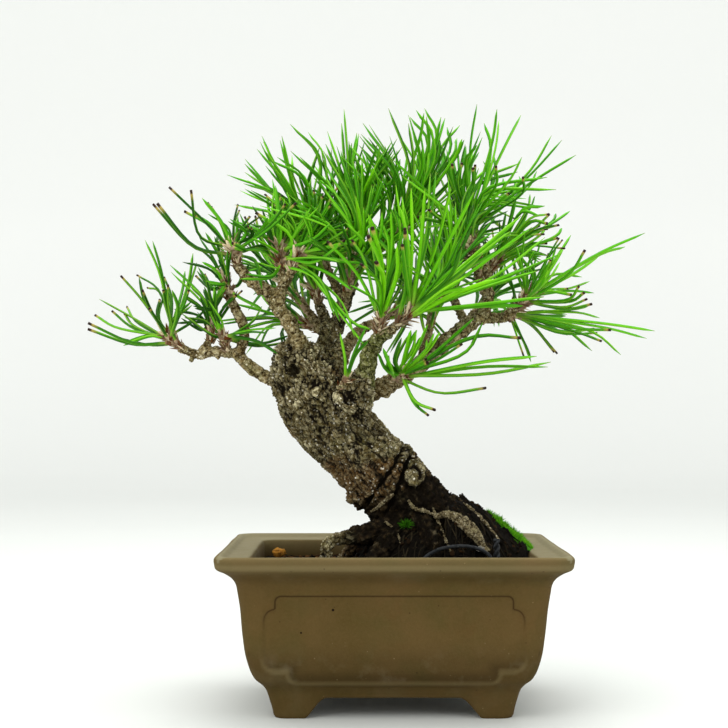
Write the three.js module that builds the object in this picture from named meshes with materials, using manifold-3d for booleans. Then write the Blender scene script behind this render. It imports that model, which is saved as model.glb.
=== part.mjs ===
// A small pine grown as a bonsai, leaning to the left out of a footed rectangular pot.
// Millimetres, +Z up, +X to the viewer's right, +Y away from the front of the pot.
// Places are given from the middle of the pot's base. At the end the whole model is moved so
// that the middle of its bounding box stands over the origin.
import * as THREE from 'three';
import { mergeVertices } from 'three/addons/utils/BufferGeometryUtils.js';
import Module from 'manifold-3d';

const wasm = await Module();
wasm.setup();

// ---------------------------------------------------------------- driving dimensions
const GAP = 0.3; // left between pieces that touch

const POT_WIDTH = 130;
const POT_DEPTH = 104;
const POT_HEIGHT = 61;
const RIM_CORNER_RADIUS = 7;
const CORNER_POINTS = 5; // points round each rounded corner
const LIP_TOP = 59.3; // the flat of the rim, inside its raised bead
const FLOOR_TOP = 14;
const FLOOR_UNDERSIDE = 9;
const PANEL_RECESS = 0.9;
const APRON_GAP = 7.6; // height of the cut-outs between the feet
const DRAIN_RADIUS = 7;
const DRAIN_OFFSET = 22; // each drain hole's distance from the middle
const MESH_THICKNESS = 0.8;

const GRIT_TOP = 22;
const SOIL_TOP = 53;
const MOUND = { centre: [20, 0, 50], radii: [36, 31, 22] };

const NEEDLE_RADIUS = 0.7;
const SHOOT_RADIUS = 1.4;
const KNOB_RADIUS = 2.1; // the scaly end of a shoot, where its needles grow
const KNOB_STRETCH = 1.6; // its length for its thickness
const TOUCHING_SHARE = 0.12; // share of a needle's first half in which its neighbours may touch it
const WIDEST_FACET_ANGLE = 0.7; // between a needle and the way its facet faces, in radians
const TRIES_PER_NEEDLE = 60;
const JITTER_PER_TRY = 0.25; // how much further a blocked tip may move at each new try
const NEEDLE_SAG = 0.05; // dip of a needle's middle for its level reach

// ---------------------------------------------------------------- materials
const CLAY = finish('#6b5646', 0.75, 0);
const BARK = finish('#6f6251', 0.9, 0);
const YOUNG_BARK = finish('#8a7a60', 0.85, 0);
const NEEDLES = finish('#3f9a22', 0.45, 0);
const SOIL = finish('#2c231b', 0.95, 0);
const GRIT = finish('#8d7f6c', 0.9, 0);
const MOSS = finish('#6da51e', 0.9, 0);
const OCHRE_STONE = finish('#9a6a2c', 0.7, 0);
const GREY_STONE = finish('#77746c', 0.7, 0);
const BLACK_WIRE = finish('#2a2b2c', 0.4, 0.8);
const BLACK_MESH = finish('#1d1e1e', 0.6, 0);

function finish(color, roughness, metalness) {
  return new THREE.MeshStandardMaterial({ color, roughness, metalness });
}

// ---------------------------------------------------------------- solids and meshes

/** A closed three.js geometry as a solid that can be joined and cut. */
function solidOf(geometry) {
  ['normal', 'uv'].forEach((name) => geometry.deleteAttribute(name));
  const merged = mergeVertices(geometry, 1e-4);
  const vertProperties = new Float32Array(merged.attributes.position.array);
  const triVerts = new Uint32Array(merged.index.array);
  return new wasm.Manifold(new wasm.Mesh({ numProp: 3, vertProperties, triVerts }));
}

function joined(solids) {
  return solids.reduce((all, next) => all.add(next));
}

/** The largest connected piece, so that a slice cut off a needle's end is not kept. */
function largestPiece(solid) {
  return solid.decompose().reduce((best, next) => (next.volume() > best.volume() ? next : best));
}

function meshOf(name, solid, material) {
  const { numProp, vertProperties, triVerts } = solid.getMesh();
  const geometry = new THREE.BufferGeometry();
  const corners = new THREE.InterleavedBuffer(vertProperties, numProp);
  geometry.setAttribute('position', new THREE.InterleavedBufferAttribute(corners, 3, 0));
  geometry.setIndex(new THREE.BufferAttribute(triVerts, 1));
  const mesh = new THREE.Mesh(geometry, material);
  mesh.name = name;
  return mesh;
}

const vector = ([x, y, z]) => new THREE.Vector3(x, y, z);

function ellipsoid(centre, radii, segments = 16) {
  const ball = new THREE.SphereGeometry(1, segments, segments / 2);
  ball.scale(...radii);
  ball.translate(...centre);
  return solidOf(ball);
}

/**
 * A limb: a cylinder bent along a smooth curve through the route's points, with one radius for
 * each point. A knobbly limb's radius also swells and shrinks a little round and along it.
 */
function limb(route, radii, { sides = 8, steps = 8, grow = 0, knobs = 0 } = {}) {
  const curve = new THREE.CatmullRomCurve3(route.map(vector), false, 'centripetal');
  const frames = curve.computeFrenetFrames(steps, false);
  const geometry = new THREE.CylinderGeometry(1, 1, 1, sides, steps);
  const place = geometry.attributes.position;
  for (let i = 0; i < place.count; i += 1) {
    const t = place.getY(i) + 0.5;
    const step = Math.round(t * steps);
    const turn = Math.atan2(place.getZ(i), place.getX(i));
    const swell = 1 + knobs * Math.sin(3 * turn + 9 * t) * Math.sin(14 * t + turn);
    const radius = radiusAlong(radii, t) * swell + grow;
    const point = curve.getPoint(t);
    if (t < 0.001) point.addScaledVector(frames.tangents[step], -grow);
    if (t > 0.999) point.addScaledVector(frames.tangents[step], grow);
    point.addScaledVector(frames.normals[step], place.getX(i) * radius);
    point.addScaledVector(frames.binormals[step], -place.getZ(i) * radius);
    place.setXYZ(i, point.x, point.y, point.z);
  }
  return solidOf(geometry);
}

function radiusAlong(radii, t) {
  const at = t * (radii.length - 1);
  const low = Math.min(Math.floor(at), radii.length - 2);
  return THREE.MathUtils.lerp(radii[low], radii[low + 1], at - low);
}

// ---------------------------------------------------------------- pot

/**
 * A lathe whose rings become rounded rectangles. The profile gives half the width and the
 * height; the half depth is smaller by the same amount all the way up.
 */
function rectangularLathe(profile) {
  const points = profile.map(([halfWidth, height]) => new THREE.Vector2(halfWidth, height));
  const ringPoints = 4 * CORNER_POINTS;
  const lathe = new THREE.LatheGeometry(points, ringPoints);
  const place = lathe.attributes.position;
  const depthLess = (POT_WIDTH - POT_DEPTH) / 2;
  for (let i = 0; i < place.count; i += 1) {
    const halfWidth = Math.hypot(place.getX(i), place.getZ(i));
    const height = place.getY(i);
    const turn = Math.atan2(place.getX(i), place.getZ(i));
    const index = Math.round((turn / (2 * Math.PI)) * ringPoints + ringPoints) % ringPoints;
    const spot = halfWidth < 0.01 ? [0, 0] : roundedCorner(index, halfWidth, halfWidth - depthLess);
    place.setXYZ(i, spot[0], spot[1], height);
  }
  return solidOf(lathe);
}

function roundedCorner(index, halfWidth, halfDepth) {
  const corner = Math.floor(index / CORNER_POINTS);
  const along = (index % CORNER_POINTS) / (CORNER_POINTS - 1);
  const radius = (RIM_CORNER_RADIUS * halfWidth * 2) / POT_WIDTH;
  const angle = ((corner + along) * Math.PI) / 2;
  const signX = corner === 0 || corner === 3 ? 1 : -1;
  const signY = corner < 2 ? 1 : -1;
  const x = signX * (halfWidth - radius) + radius * Math.cos(angle);
  const y = signY * (halfDepth - radius) + radius * Math.sin(angle);
  return [x, y];
}

/** From the foot up to the rim's outer edge: half width and height. */
const OUTER_WALL = [
  [44.1, 0],
  [44.6, 1],
  [45.1, 3.5],
  [45.8, 6.3],
  [47, 10.3],
  [50.8, 14.7],
  [53.7, 21.6],
  [55, 29.1],
  [56.1, 40.1],
  [56.7, 44.6],
  [57.5, 49.7],
  [58.2, 51.4],
  [59.5, 53],
  [61.6, 54.6],
  [64.1, 56.2],
  [64.7, 57.9],
  [65, 59.6],
];

/** Over the rim's bead, across its lip and down the inside to the floor. */
const INNER_WALL = [
  [64.4, 60.7],
  [63.2, POT_HEIGHT],
  [62, 60.6],
  [60.6, 59.6],
  [53.8, LIP_TOP],
  [52.9, 58.7],
  [52.4, 57.4],
  [50.4, 40],
  [48.6, 26],
  [45, 17.5],
  [42, FLOOR_TOP],
  [0, FLOOR_TOP],
];

const FOOT_RING_INSIDE = [
  [0, FLOOR_UNDERSIDE],
  [38.4, FLOOR_UNDERSIDE],
  [37.6, 0],
];

/** A prism through the pot along Y, or along X once turned, from an outline in X and Z. */
function throughPot(shape, alongX) {
  const prism = new THREE.ExtrudeGeometry(shape, {
    depth: POT_WIDTH + 10,
    bevelEnabled: false,
    curveSegments: 4,
  });
  prism.translate(0, 0, -(POT_WIDTH + 10) / 2);
  prism.rotateX(Math.PI / 2);
  if (alongX) prism.rotateZ(Math.PI / 2);
  return solidOf(prism);
}

/** A panel with indented corners: a step in from the top line, then a round down to the side. */
function panelShape(halfWidth) {
  const [bottom, top] = [13.2, 46];
  const step = 5;
  const round = 4.6;
  const inner = halfWidth - round;
  const shape = new THREE.Shape();
  const corner = (sideX, sideZ, edgeZ, first) => {
    const turnZ = edgeZ - sideZ * step;
    const roundEndZ = edgeZ - sideZ * (step + round);
    const spots = [
      [sideX * (inner - 1), edgeZ],
      [sideX * (inner - 0.4), turnZ],
      [sideX * halfWidth, roundEndZ],
    ];
    if (first) {
      shape.lineTo(...spots[0]);
      shape.lineTo(...spots[1]);
      shape.quadraticCurveTo(sideX * halfWidth, turnZ, ...spots[2]);
    } else {
      shape.lineTo(...spots[2]);
      shape.quadraticCurveTo(sideX * halfWidth, turnZ, ...spots[1]);
      shape.lineTo(...spots[0]);
    }
  };
  shape.moveTo(0, bottom);
  corner(1, -1, bottom, true);
  corner(1, 1, top, false);
  corner(-1, 1, top, true);
  corner(-1, -1, bottom, false);
  return shape;
}

/** The cut-out between two feet, with ends that curve over into the apron. */
function apronShape(halfWidth) {
  const curve = 7.5;
  const shape = new THREE.Shape();
  shape.moveTo(-halfWidth, -1);
  shape.lineTo(-halfWidth, 0);
  shape.quadraticCurveTo(-halfWidth + curve * 0.45, APRON_GAP, -halfWidth + curve, APRON_GAP);
  shape.lineTo(halfWidth - curve, APRON_GAP);
  shape.quadraticCurveTo(halfWidth - curve * 0.45, APRON_GAP, halfWidth, 0);
  shape.lineTo(halfWidth, -1);
  return shape;
}

function drainHole(x) {
  const hole = new THREE.CylinderGeometry(DRAIN_RADIUS, DRAIN_RADIUS, 12, 20);
  hole.rotateX(Math.PI / 2);
  hole.translate(x, 0, (FLOOR_TOP + FLOOR_UNDERSIDE) / 2);
  return solidOf(hole);
}

function pot() {
  const whole = rectangularLathe([...FOOT_RING_INSIDE, ...OUTER_WALL, ...INNER_WALL]);
  const recessed = OUTER_WALL.map(([halfWidth, height]) => [halfWidth - PANEL_RECESS, height]);
  const core = rectangularLathe([[0, 0], ...recessed, [0, 59.6]]);
  const frontPanel = throughPot(panelShape(47.2), false).subtract(core);
  const sidePanel = throughPot(panelShape(34.2), true).subtract(core);
  const cuts = [
    frontPanel,
    sidePanel,
    throughPot(apronShape(33.3), false),
    throughPot(apronShape(20.3), true),
    drainHole(-DRAIN_OFFSET),
    drainHole(DRAIN_OFFSET),
  ];
  return whole.subtract(joined(cuts));
}

// ---------------------------------------------------------------- inside the pot

function box(width, depth, height, centre) {
  const block = new THREE.BoxGeometry(width, depth, height);
  block.translate(...centre);
  return solidOf(block);
}

/** A square of drainage mesh with a grid of square openings, lying over a drain hole. */
function drainMesh(x) {
  const side = 22;
  const openings = 4;
  const pitch = 4.8;
  const opening = 3.4;
  const middle = FLOOR_TOP + GAP + MESH_THICKNESS / 2;
  const holes = [];
  for (let i = 0; i < openings * openings; i += 1) {
    const acrossX = ((i % openings) - (openings - 1) / 2) * pitch;
    const acrossY = (Math.floor(i / openings) - (openings - 1) / 2) * pitch;
    holes.push(box(opening, opening, 4, [x + acrossX, acrossY, middle]));
  }
  return box(side, side, MESH_THICKNESS, [x, 0, middle]).subtract(joined(holes));
}

/** The wire clip that holds a mesh: over the mesh, down its hole and out under the floor. */
function meshClip(x) {
  const radius = 0.6;
  const over = FLOOR_TOP + GAP + MESH_THICKNESS + GAP + radius;
  const under = FLOOR_UNDERSIDE - GAP - radius;
  const leg = 2.4; // half the pitch of the mesh's openings, so each leg is in the middle of one
  const end = 11;
  const half = [
    [over, 0],
    [over, leg - 1],
    [over - 0.9, leg - 0.1],
    [over - 2, leg],
    [under + 2, leg],
    [under + 0.6, leg + 0.6],
    [under, leg + 2],
    [under, end],
  ];
  const mirrored = half.slice(1).reverse().map(([z, y]) => [x + leg, -y, z]);
  const route = [...mirrored, ...half.map(([z, y]) => [x + leg, y, z])];
  return limb(route, [radius, radius], { sides: 6, steps: 22 });
}

function grit() {
  const wall = [
    [42 - GAP, FLOOR_TOP + GAP],
    [45 - GAP, 17.5 + GAP / 2],
    [46.7 - GAP, GRIT_TOP],
  ];
  const bed = rectangularLathe([[0, FLOOR_TOP + GAP], ...wall, [0, GRIT_TOP]]);
  return bed.subtract(joined([-DRAIN_OFFSET, DRAIN_OFFSET].map(meshPocket)));
}

/** Room in the grit for one mesh, its clip and the hole below them. */
function meshPocket(x) {
  return box(23, 23, 6, [x, 0, FLOOR_TOP]);
}

function soil(buried) {
  const wall = [
    [46.8 - GAP, GRIT_TOP + GAP],
    [48.6 - GAP, 26.3],
    [50.4 - GAP, 40.3],
    [51.8 - GAP, SOIL_TOP - 0.6],
    [50.4, SOIL_TOP],
  ];
  const bed = rectangularLathe([[0, GRIT_TOP + GAP], ...wall, [0, SOIL_TOP]]);
  return bed.add(mound(0).intersect(insideWall())).subtract(joined(buried));
}

/** The heap of soil and roots that the trunk stands in. */
function mound(grow) {
  return ellipsoid(MOUND.centre, MOUND.radii.map((r) => r + grow), 18);
}

/** The space inside the pot's wall, from a little below the soil's top upwards. */
function insideWall() {
  const wall = [
    [50, SOIL_TOP - 8],
    [51.4, SOIL_TOP],
    [51.9, 58],
    [51.9, 84],
  ];
  return rectangularLathe([[0, SOIL_TOP - 8], ...wall, [0, 84]]);
}

// ---------------------------------------------------------------- wood

const TRUNK_ROUTE = [
  [18, 1, 49],
  [14, 0, 62],
  [8.5, -0.5, 72.5],
  [2.2, -1, 81.5],
  [-6.5, -0.5, 90],
  [-14.3, 0, 98],
  [-20, 0.5, 105],
  [-25.5, 0.5, 113],
  [-30, 0, 121.5],
  [-33, -0.5, 130],
  [-34.5, -0.5, 136.5],
  [-34, 0, 140],
];
const TRUNK_RADII = [25, 20.5, 17.2, 15.6, 15.4, 13.9, 14.3, 15.4, 15.6, 14.6, 12, 6];

/** Surface roots, each from inside the trunk's base out and down into the soil. */
const ROOTS = [
  {
    route: [[4, -8, 69], [-8, -12, 66], [-18, -14, 64], [-25, -14, 59], [-27, -14, 50]],
    radii: [6, 4.6, 4, 3.4, 2.4],
  },
  { route: [[4, -9, 67], [-3, -18, 62], [-9, -24, 55], [-12, -26, 49]], radii: [5.5, 4, 2.8, 2] },
  { route: [[12, -10, 70], [15, -21, 64], [17, -28, 56], [18, -31, 49]], radii: [6, 4, 2.8, 2] },
  {
    route: [[20, -10, 75], [27, -20, 69], [34, -26, 62], [41, -30, 53]],
    radii: [5, 3.4, 2.6, 1.8],
  },
  { route: [[24, 0, 74], [36, -3, 68], [44, -6, 60], [48, -8, 51]], radii: [7, 5, 3.4, 2.4] },
  { route: [[22, 8, 70], [32, 18, 64], [38, 25, 57], [40, 28, 49]], radii: [6, 4, 3, 2] },
  { route: [[10, 10, 68], [8, 20, 64], [6, 28, 57], [5, 31, 49]], radii: [6, 4, 3, 2] },
  { route: [[0, 6, 68], [-10, 14, 63], [-17, 19, 56], [-20, 21, 49]], radii: [6, 4, 2.8, 2] },
];

function trunk(grow = 0) {
  const stem = limb(TRUNK_ROUTE, TRUNK_RADII, { sides: 12, steps: 13, grow, knobs: 0.05 });
  const roots = ROOTS.map(({ route, radii }) => limb(route, radii, { sides: 6, steps: 5, grow }));
  const collar = limb([[-17, -7, 113], [-14, -13, 121], [-11, -15, 127]], [9, 6.5, 4], { grow });
  return joined([stem, ...roots, collar]);
}

/** The branches, each with its forks, from inside the trunk outwards. */
const BRANCHES = {
  left_branch: [
    {
      route: [[-34, -2, 123], [-41, -2, 124.5], [-48, -2, 126], [-56, -4, 131], [-61, -5, 136]],
      radii: [3.4, 3, 2.7, 2.5, 2.4],
    },
    {
      route: [[-60, -5, 135.5], [-65, -5, 136], [-70, -6, 136.5], [-75, -6, 135], [-83, -6, 138]],
      radii: [2.2, 2, 2, 1.9, 1.6],
    },
    {
      route: [[-60, -5, 135], [-57.5, -6, 142], [-58, -7, 147], [-60.5, -8, 152], [-63, -8, 157]],
      radii: [2.3, 2.1, 2, 2, 1.8],
    },
    { route: [[-75, -6, 135], [-72, -7, 139], [-70, -7, 142]], radii: [1.8, 1.5, 1.3] },
  ],
  upper_left_branch: [
    {
      route: [[-34, -5, 129], [-36, -9, 139], [-39, -11, 146], [-43, -12, 152], [-46, -13, 157]],
      radii: [3.8, 3.2, 2.9, 2.8, 2.9],
    },
    {
      route: [
        [-45.5, -13, 156], [-49, -13, 160], [-54, -13, 163], [-58, -12, 167], [-60, -12, 170],
      ],
      radii: [2.8, 2.5, 2.4, 2.2, 2],
    },
    { route: [[-44, -13, 155], [-42, -14, 161], [-39, -15, 166]], radii: [2.4, 2.1, 1.8] },
  ],
  centre_branch: [
    {
      route: [[-28, 2, 130], [-27, 3, 140], [-26, 4, 148], [-29, 5, 156]],
      radii: [3, 2.7, 2.4, 1.8],
    },
  ],
  front_branch: [
    {
      route: [
        [-14, -10, 118], [-12.5, -16, 128], [-10.5, -20, 135.5], [-6, -24, 140.5], [-1, -26, 143],
      ],
      radii: [4, 3.7, 3.4, 2.8, 2.3],
    },
  ],
  right_branch: [
    {
      route: [
        [-16, -2, 118], [-6, -4, 121.5], [3, -4, 126], [12, -2, 132.5], [21, 0, 140],
        [28, 2, 145.5], [35, 3, 150.5],
      ],
      radii: [4.4, 4, 3.6, 3.4, 3.3, 3.1, 2.6],
    },
    {
      route: [[34, 3, 149.5], [39, 2.5, 149.8], [44, 1, 150], [48, 0, 152.5]],
      radii: [2.5, 2.2, 2, 1.7],
    },
    {
      route: [[34, 3, 149], [38, 3, 156], [38, 3, 163], [36.5, 2, 171], [33.5, 1, 178]],
      radii: [2.6, 2.4, 2.3, 2.2, 1.9],
    },
    {
      route: [[22, 1, 141], [27, 10, 146], [31, 19, 150], [34, 25, 152]],
      radii: [2.5, 2.2, 1.9, 1.6],
    },
  ],
  crown_branch: [
    {
      route: [
        [-30, 4, 128], [-24, 6, 141], [-20, 5, 152], [-16, 3, 164], [-14, 2, 174], [-15, 1, 180],
      ],
      radii: [4.2, 3.5, 3, 2.7, 2.3, 1.9],
    },
  ],
  back_branch: [
    {
      route: [[-24, 8, 120], [-21, 18, 132], [-18, 25, 140], [-12, 30, 147], [-4, 33, 151]],
      radii: [4.2, 3.3, 2.8, 2.4, 1.8],
    },
    { route: [[-19, 24, 138], [-24, 28, 143], [-30, 30, 147]], radii: [2.3, 2, 1.6] },
  ],
};

function branch(limbs, grow = 0) {
  const shape = { sides: 7, steps: 6, grow, knobs: 0.06 };
  return joined(limbs.map(({ route, radii }) => limb(route, radii, shape)));
}

// ---------------------------------------------------------------- needles

/**
 * Tufts of needles. Each grows on a scaly shoot that leaves its branch at "from" and ends at
 * "to". Needles spread round "along" by up to "spread" degrees. "reach" lists the needles that
 * make the tree's outline by where their tips are.
 */
const TUFTS = {
  left_tip: {
    parent: 'left_branch', from: [-81, -6, 137], to: [-87, -6, 142],
    along: [-0.6, -0.1, 0.8], spread: 66, count: 11, length: [26, 40],
    reach: [
      [-120, -6, 148], [-114, -16, 151], [-111, 0, 153], [-110, -24, 155], [-108, 6, 167],
      [-98, -16, 166], [-98, 0, 180], [-86, -18, 162], [-81, 4, 163], [-75, -18, 174],
    ],
  },
  left_knob: {
    parent: 'left_branch', from: [-70.5, -7, 141], to: [-70, -8, 147],
    along: [-0.1, -0.2, 1], spread: 45, count: 10, length: [20, 32],
    reach: [],
  },
  left_crook: {
    parent: 'left_branch', from: [-64, -5, 136], to: [-66, -9, 143],
    along: [-0.5, -0.2, 0.9], spread: 40, count: 6, length: [28, 42],
    reach: [[-89, 8, 172], [-81, -26, 167], [-78, 6, 173]],
  },
  left_upright: {
    parent: 'left_branch', from: [-62.5, -8, 156], to: [-64.5, -8.5, 163],
    along: [-0.5, -0.2, 0.9], spread: 60, count: 11, length: [22, 34],
    reach: [[-79, 8, 175], [-68, -24, 180]],
  },
  left_shoulder: {
    parent: 'upper_left_branch', from: [-59.5, -12, 169], to: [-62, -12.5, 176],
    along: [-0.4, 0, 0.9], spread: 62, count: 11, length: [24, 38],
    reach: [
      [-95, -2, 195], [-84, -26, 198], [-79, -4, 201], [-71, -30, 194], [-68, -22, 189],
      [-50, 4, 200],
    ],
  },
  left_scales: {
    parent: 'upper_left_branch', from: [-42, -14, 161], to: [-43.5, -14.5, 175],
    along: [-0.1, -0.1, 1], spread: 60, count: 16, length: [24, 38],
    reach: [[-49, -22, 188], [-37, 0, 202]],
  },
  middle_scales: {
    parent: 'upper_left_branch', from: [-39.5, -15, 165], to: [-36, -16.5, 173],
    along: [0.35, -0.2, 1], spread: 62, count: 16, length: [26, 40],
    reach: [[-31, -2, 203], [-36, -30, 194], [-18, 0, 188]],
  },
  centre: {
    parent: 'centre_branch', from: [-28.5, 5, 155], to: [-31, 5, 163],
    along: [-0.1, 0, 1], spread: 62, count: 19, length: [30, 46],
    reach: [],
  },
  crown_left: {
    parent: 'crown_branch', from: [-19, 4, 156], to: [-32, 4, 184],
    along: [-0.5, 0.05, 0.8], spread: 55, count: 14, length: [38, 52],
    reach: [
      [-60, 14, 218], [-48, -24, 214], [-55, 8, 222], [-57, -18, 201], [-50, 20, 208],
      [-42, 8, 233], [-35, -24, 222],
    ],
  },
  crown_middle: {
    parent: 'crown_branch', from: [-14.5, 1.5, 178], to: [-16, 0.5, 187],
    along: [0, 0, 1], spread: 55, count: 16, length: [38, 50],
    reach: [
      [-19, 8, 236], [-16, -32, 216], [-13, 22, 222], [-10, -28, 218], [-5, 18, 226],
      [-25, 24, 226],
    ],
  },
  crown_right: {
    parent: 'crown_branch', from: [-15, 3, 168], to: [3, -4, 184],
    along: [0.25, -0.05, 1], spread: 50, count: 14, length: [38, 52],
    reach: [[8, 8, 234], [8, -32, 227], [13, 6, 235], [20, 6, 233], [18, -30, 225], [23, 14, 228]],
  },
  crown_front: {
    parent: 'crown_branch', from: [-20, 4, 151], to: [-14, -18, 172],
    along: [-0.15, -0.45, 0.9], spread: 58, count: 21, length: [40, 54],
    reach: [],
  },
  crown_back: {
    parent: 'crown_branch', from: [-16, 4, 163], to: [-20, 24, 182],
    along: [-0.1, 0.5, 0.9], spread: 62, count: 21, length: [38, 50],
    reach: [],
  },
  middle_right: {
    parent: 'right_branch', from: [11, -2, 132], to: [18, -14, 158],
    along: [0.3, -0.4, 0.9], spread: 55, count: 19, length: [38, 52],
    reach: [],
  },
  apex: {
    parent: 'right_branch', from: [34, 1, 177], to: [30, 0, 186], along: [0.35, 0, 1],
    spread: 52, count: 10, length: [34, 52],
    reach: [
      [36, 6, 239], [38, -22, 233], [44, 12, 236], [48, -20, 231], [70, 12, 226], [68, -26, 213],
      [55, 20, 221], [53, -28, 207], [64, 16, 201], [24, -24, 226], [29, 18, 229],
    ],
  },
  apex_right: {
    parent: 'right_branch', from: [37.5, 3, 166], to: [43, 7, 175],
    along: [0.8, 0.1, 0.6], spread: 55, count: 11, length: [28, 42],
    reach: [[67, 22, 197], [69, -16, 190], [76, 18, 188], [72, -14, 178]],
  },
  apex_front: {
    parent: 'right_branch', from: [37, 2.5, 160], to: [31, -14, 170],
    along: [0.25, -0.6, 0.8], spread: 60, count: 16, length: [34, 48],
    reach: [],
  },
  right_tip: {
    parent: 'right_branch', from: [47, 0, 152], to: [53.5, -1, 157.5],
    along: [0.7, -0.1, 0.7], spread: 62, count: 14, length: [28, 42],
    reach: [[102, 6, 184], [74, -22, 176], [78, 12, 166], [80, -20, 158], [84, 16, 163]],
  },
  right_low: {
    parent: 'right_branch', from: [42, 1.5, 150], to: [49.5, 9, 152],
    along: [0.8, 0.4, 0.2], spread: 60, count: 10, length: [28, 42],
    reach: [[106, 10, 147], [88, -12, 136], [86, 20, 139], [85, -8, 145], [60, -2, 133]],
  },
  front_low: {
    parent: 'right_branch', from: [-4, -5, 123], to: [4, -20, 127],
    along: [0.6, -0.6, 0.5], spread: 58, count: 10, length: [28, 44],
    reach: [[58, -34, 132], [61, -24, 131], [37, -10, 123], [17, -35, 114], [52, -14, 142]],
  },
  front_fan_left: {
    parent: 'front_branch', from: [-6, -24, 140], to: [-4, -28, 149],
    along: [-0.15, -0.1, 1], spread: 44, count: 16, length: [46, 58],
    reach: [[-24, -20, 198], [4, -42, 201]],
  },
  front_fan_right: {
    parent: 'front_branch', from: [-2, -26, 142.5], to: [6, -29, 148],
    along: [0.5, -0.1, 0.9], spread: 50, count: 19, length: [46, 60],
    reach: [[25, -20, 203], [44, -18, 190], [58, -22, 175], [42, -50, 178]],
  },
  trunk_pair: {
    parent: 'trunk', from: [-20, -14, 122], to: [-17, -19, 125], along: [0.1, 0, 1],
    spread: 20, count: 3, length: [18, 22],
    reach: [],
  },
  back_low: {
    parent: 'back_branch', from: [-6, 32.5, 150], to: [2, 36, 155],
    along: [0.2, 0.8, 0.5], spread: 64, count: 19, length: [30, 42],
    reach: [],
  },
  back_low_left: {
    parent: 'back_branch', from: [-29, 30, 146.5], to: [-36, 31, 150],
    along: [-0.6, 0.6, 0.5], spread: 64, count: 19, length: [30, 42],
    reach: [],
  },
  back_low_right: {
    parent: 'right_branch', from: [33, 24, 151.5], to: [38, 29, 157],
    along: [0.6, 0.6, 0.5], spread: 62, count: 19, length: [30, 42],
    reach: [],
  },
  back_upper_left: {
    parent: 'crown_branch', from: [-24, 6, 142], to: [-44, 20, 166],
    along: [-0.5, 0.5, 0.8], spread: 60, count: 19, length: [32, 44],
    reach: [],
  },
  back_upper_right: {
    parent: 'right_branch', from: [30, 17, 149.5], to: [20, 26, 172],
    along: [0.3, 0.5, 0.9], spread: 60, count: 19, length: [34, 46],
    reach: [],
  },
};

/** Repeatable random numbers from 0 to 1. */
function dice(seed) {
  let state = seed;
  return () => {
    state = (Math.imul(state, 1664525) + 1013904223) >>> 0;
    return state / 4294967296;
  };
}

/** The shortest distance between two straight rods' centre lines. */
function rodDistance(one, other) {
  const line = one.to.clone().sub(one.from);
  const otherLine = other.to.clone().sub(other.from);
  const apart = one.from.clone().sub(other.from);
  const [a, e] = [line.lengthSq(), otherLine.lengthSq()];
  const [b, c, f] = [line.dot(otherLine), line.dot(apart), otherLine.dot(apart)];
  const spread = a * e - b * b;
  let s = spread > 1e-9 ? THREE.MathUtils.clamp((b * f - c * e) / spread, 0, 1) : 0;
  const t = THREE.MathUtils.clamp((b * s + f) / e, 0, 1);
  s = THREE.MathUtils.clamp((b * t - c) / a, 0, 1);
  return apart.addScaledVector(line, s).addScaledVector(otherLine, -t).length();
}

/** Straight rods along a smooth curve through a route, for keeping needles clear of it. */
function rodsAlong(owner, route, radii, steps = 6) {
  const curve = new THREE.CatmullRomCurve3(route.map(vector), false, 'centripetal');
  return Array.from({ length: steps }, (_, i) => ({
    owner,
    from: curve.getPoint(i / steps),
    to: curve.getPoint((i + 1) / steps),
    radius: Math.max(radiusAlong(radii, i / steps), radiusAlong(radii, (i + 1) / steps)),
  }));
}

/** A shoot and its knob as rods. */
function shootRods(name, shape) {
  const axis = vector(shape.to).sub(vector(shape.from)).normalize();
  const tip = vector(shape.to).addScaledVector(axis, KNOB_RADIUS * KNOB_STRETCH - KNOB_RADIUS);
  const knob = { owner: `${name} shoot`, from: vector(shape.to), to: tip, radius: KNOB_RADIUS };
  return [knob, ...rodsAlong(`${name} shoot`, shootRoute(shape), SHOOT_RADII, 3)];
}

function shootRoute({ from, to }) {
  const middle = from.map((value, i) => (value + to[i]) / 2);
  middle[2] -= 0.08 * Math.hypot(to[0] - from[0], to[1] - from[1]);
  return [from, middle, to];
}

const SHOOT_RADII = [SHOOT_RADIUS * 1.15, SHOOT_RADIUS, SHOOT_RADIUS * 1.1];

/** A direction within "spread" degrees of "along", spread evenly over the cone. */
function randomDirection(along, spread, roll) {
  const lowest = Math.cos(THREE.MathUtils.degToRad(spread));
  const cosine = 1 - roll() * (1 - lowest);
  const turn = roll() * 2 * Math.PI;
  const sine = Math.sqrt(1 - cosine * cosine);
  const direction = new THREE.Vector3(sine * Math.cos(turn), sine * Math.sin(turn), cosine);
  const tilt = new THREE.Quaternion().setFromUnitVectors(new THREE.Vector3(0, 0, 1), along);
  return direction.applyQuaternion(tilt);
}

/** The end of a shoot: a small faceted knob, drawn out along the shoot. */
function knobFacets({ from, to }) {
  const knob = new THREE.IcosahedronGeometry(1, 1);
  knob.scale(KNOB_RADIUS, KNOB_RADIUS, KNOB_RADIUS * KNOB_STRETCH);
  const axis = vector(to).sub(vector(from)).normalize();
  knob.applyQuaternion(new THREE.Quaternion().setFromUnitVectors(new THREE.Vector3(0, 0, 1), axis));
  knob.translate(...to);
  const place = knob.attributes.position;
  const facets = [];
  for (let i = 0; i < place.count; i += 3) {
    const corners = [0, 1, 2].map((k) => new THREE.Vector3().fromBufferAttribute(place, i + k));
    const root = corners[0].clone().add(corners[1]).add(corners[2]).divideScalar(3);
    facets.push({ corners, root, outward: root.clone().sub(vector(to)).normalize() });
  }
  return facets;
}

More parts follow.
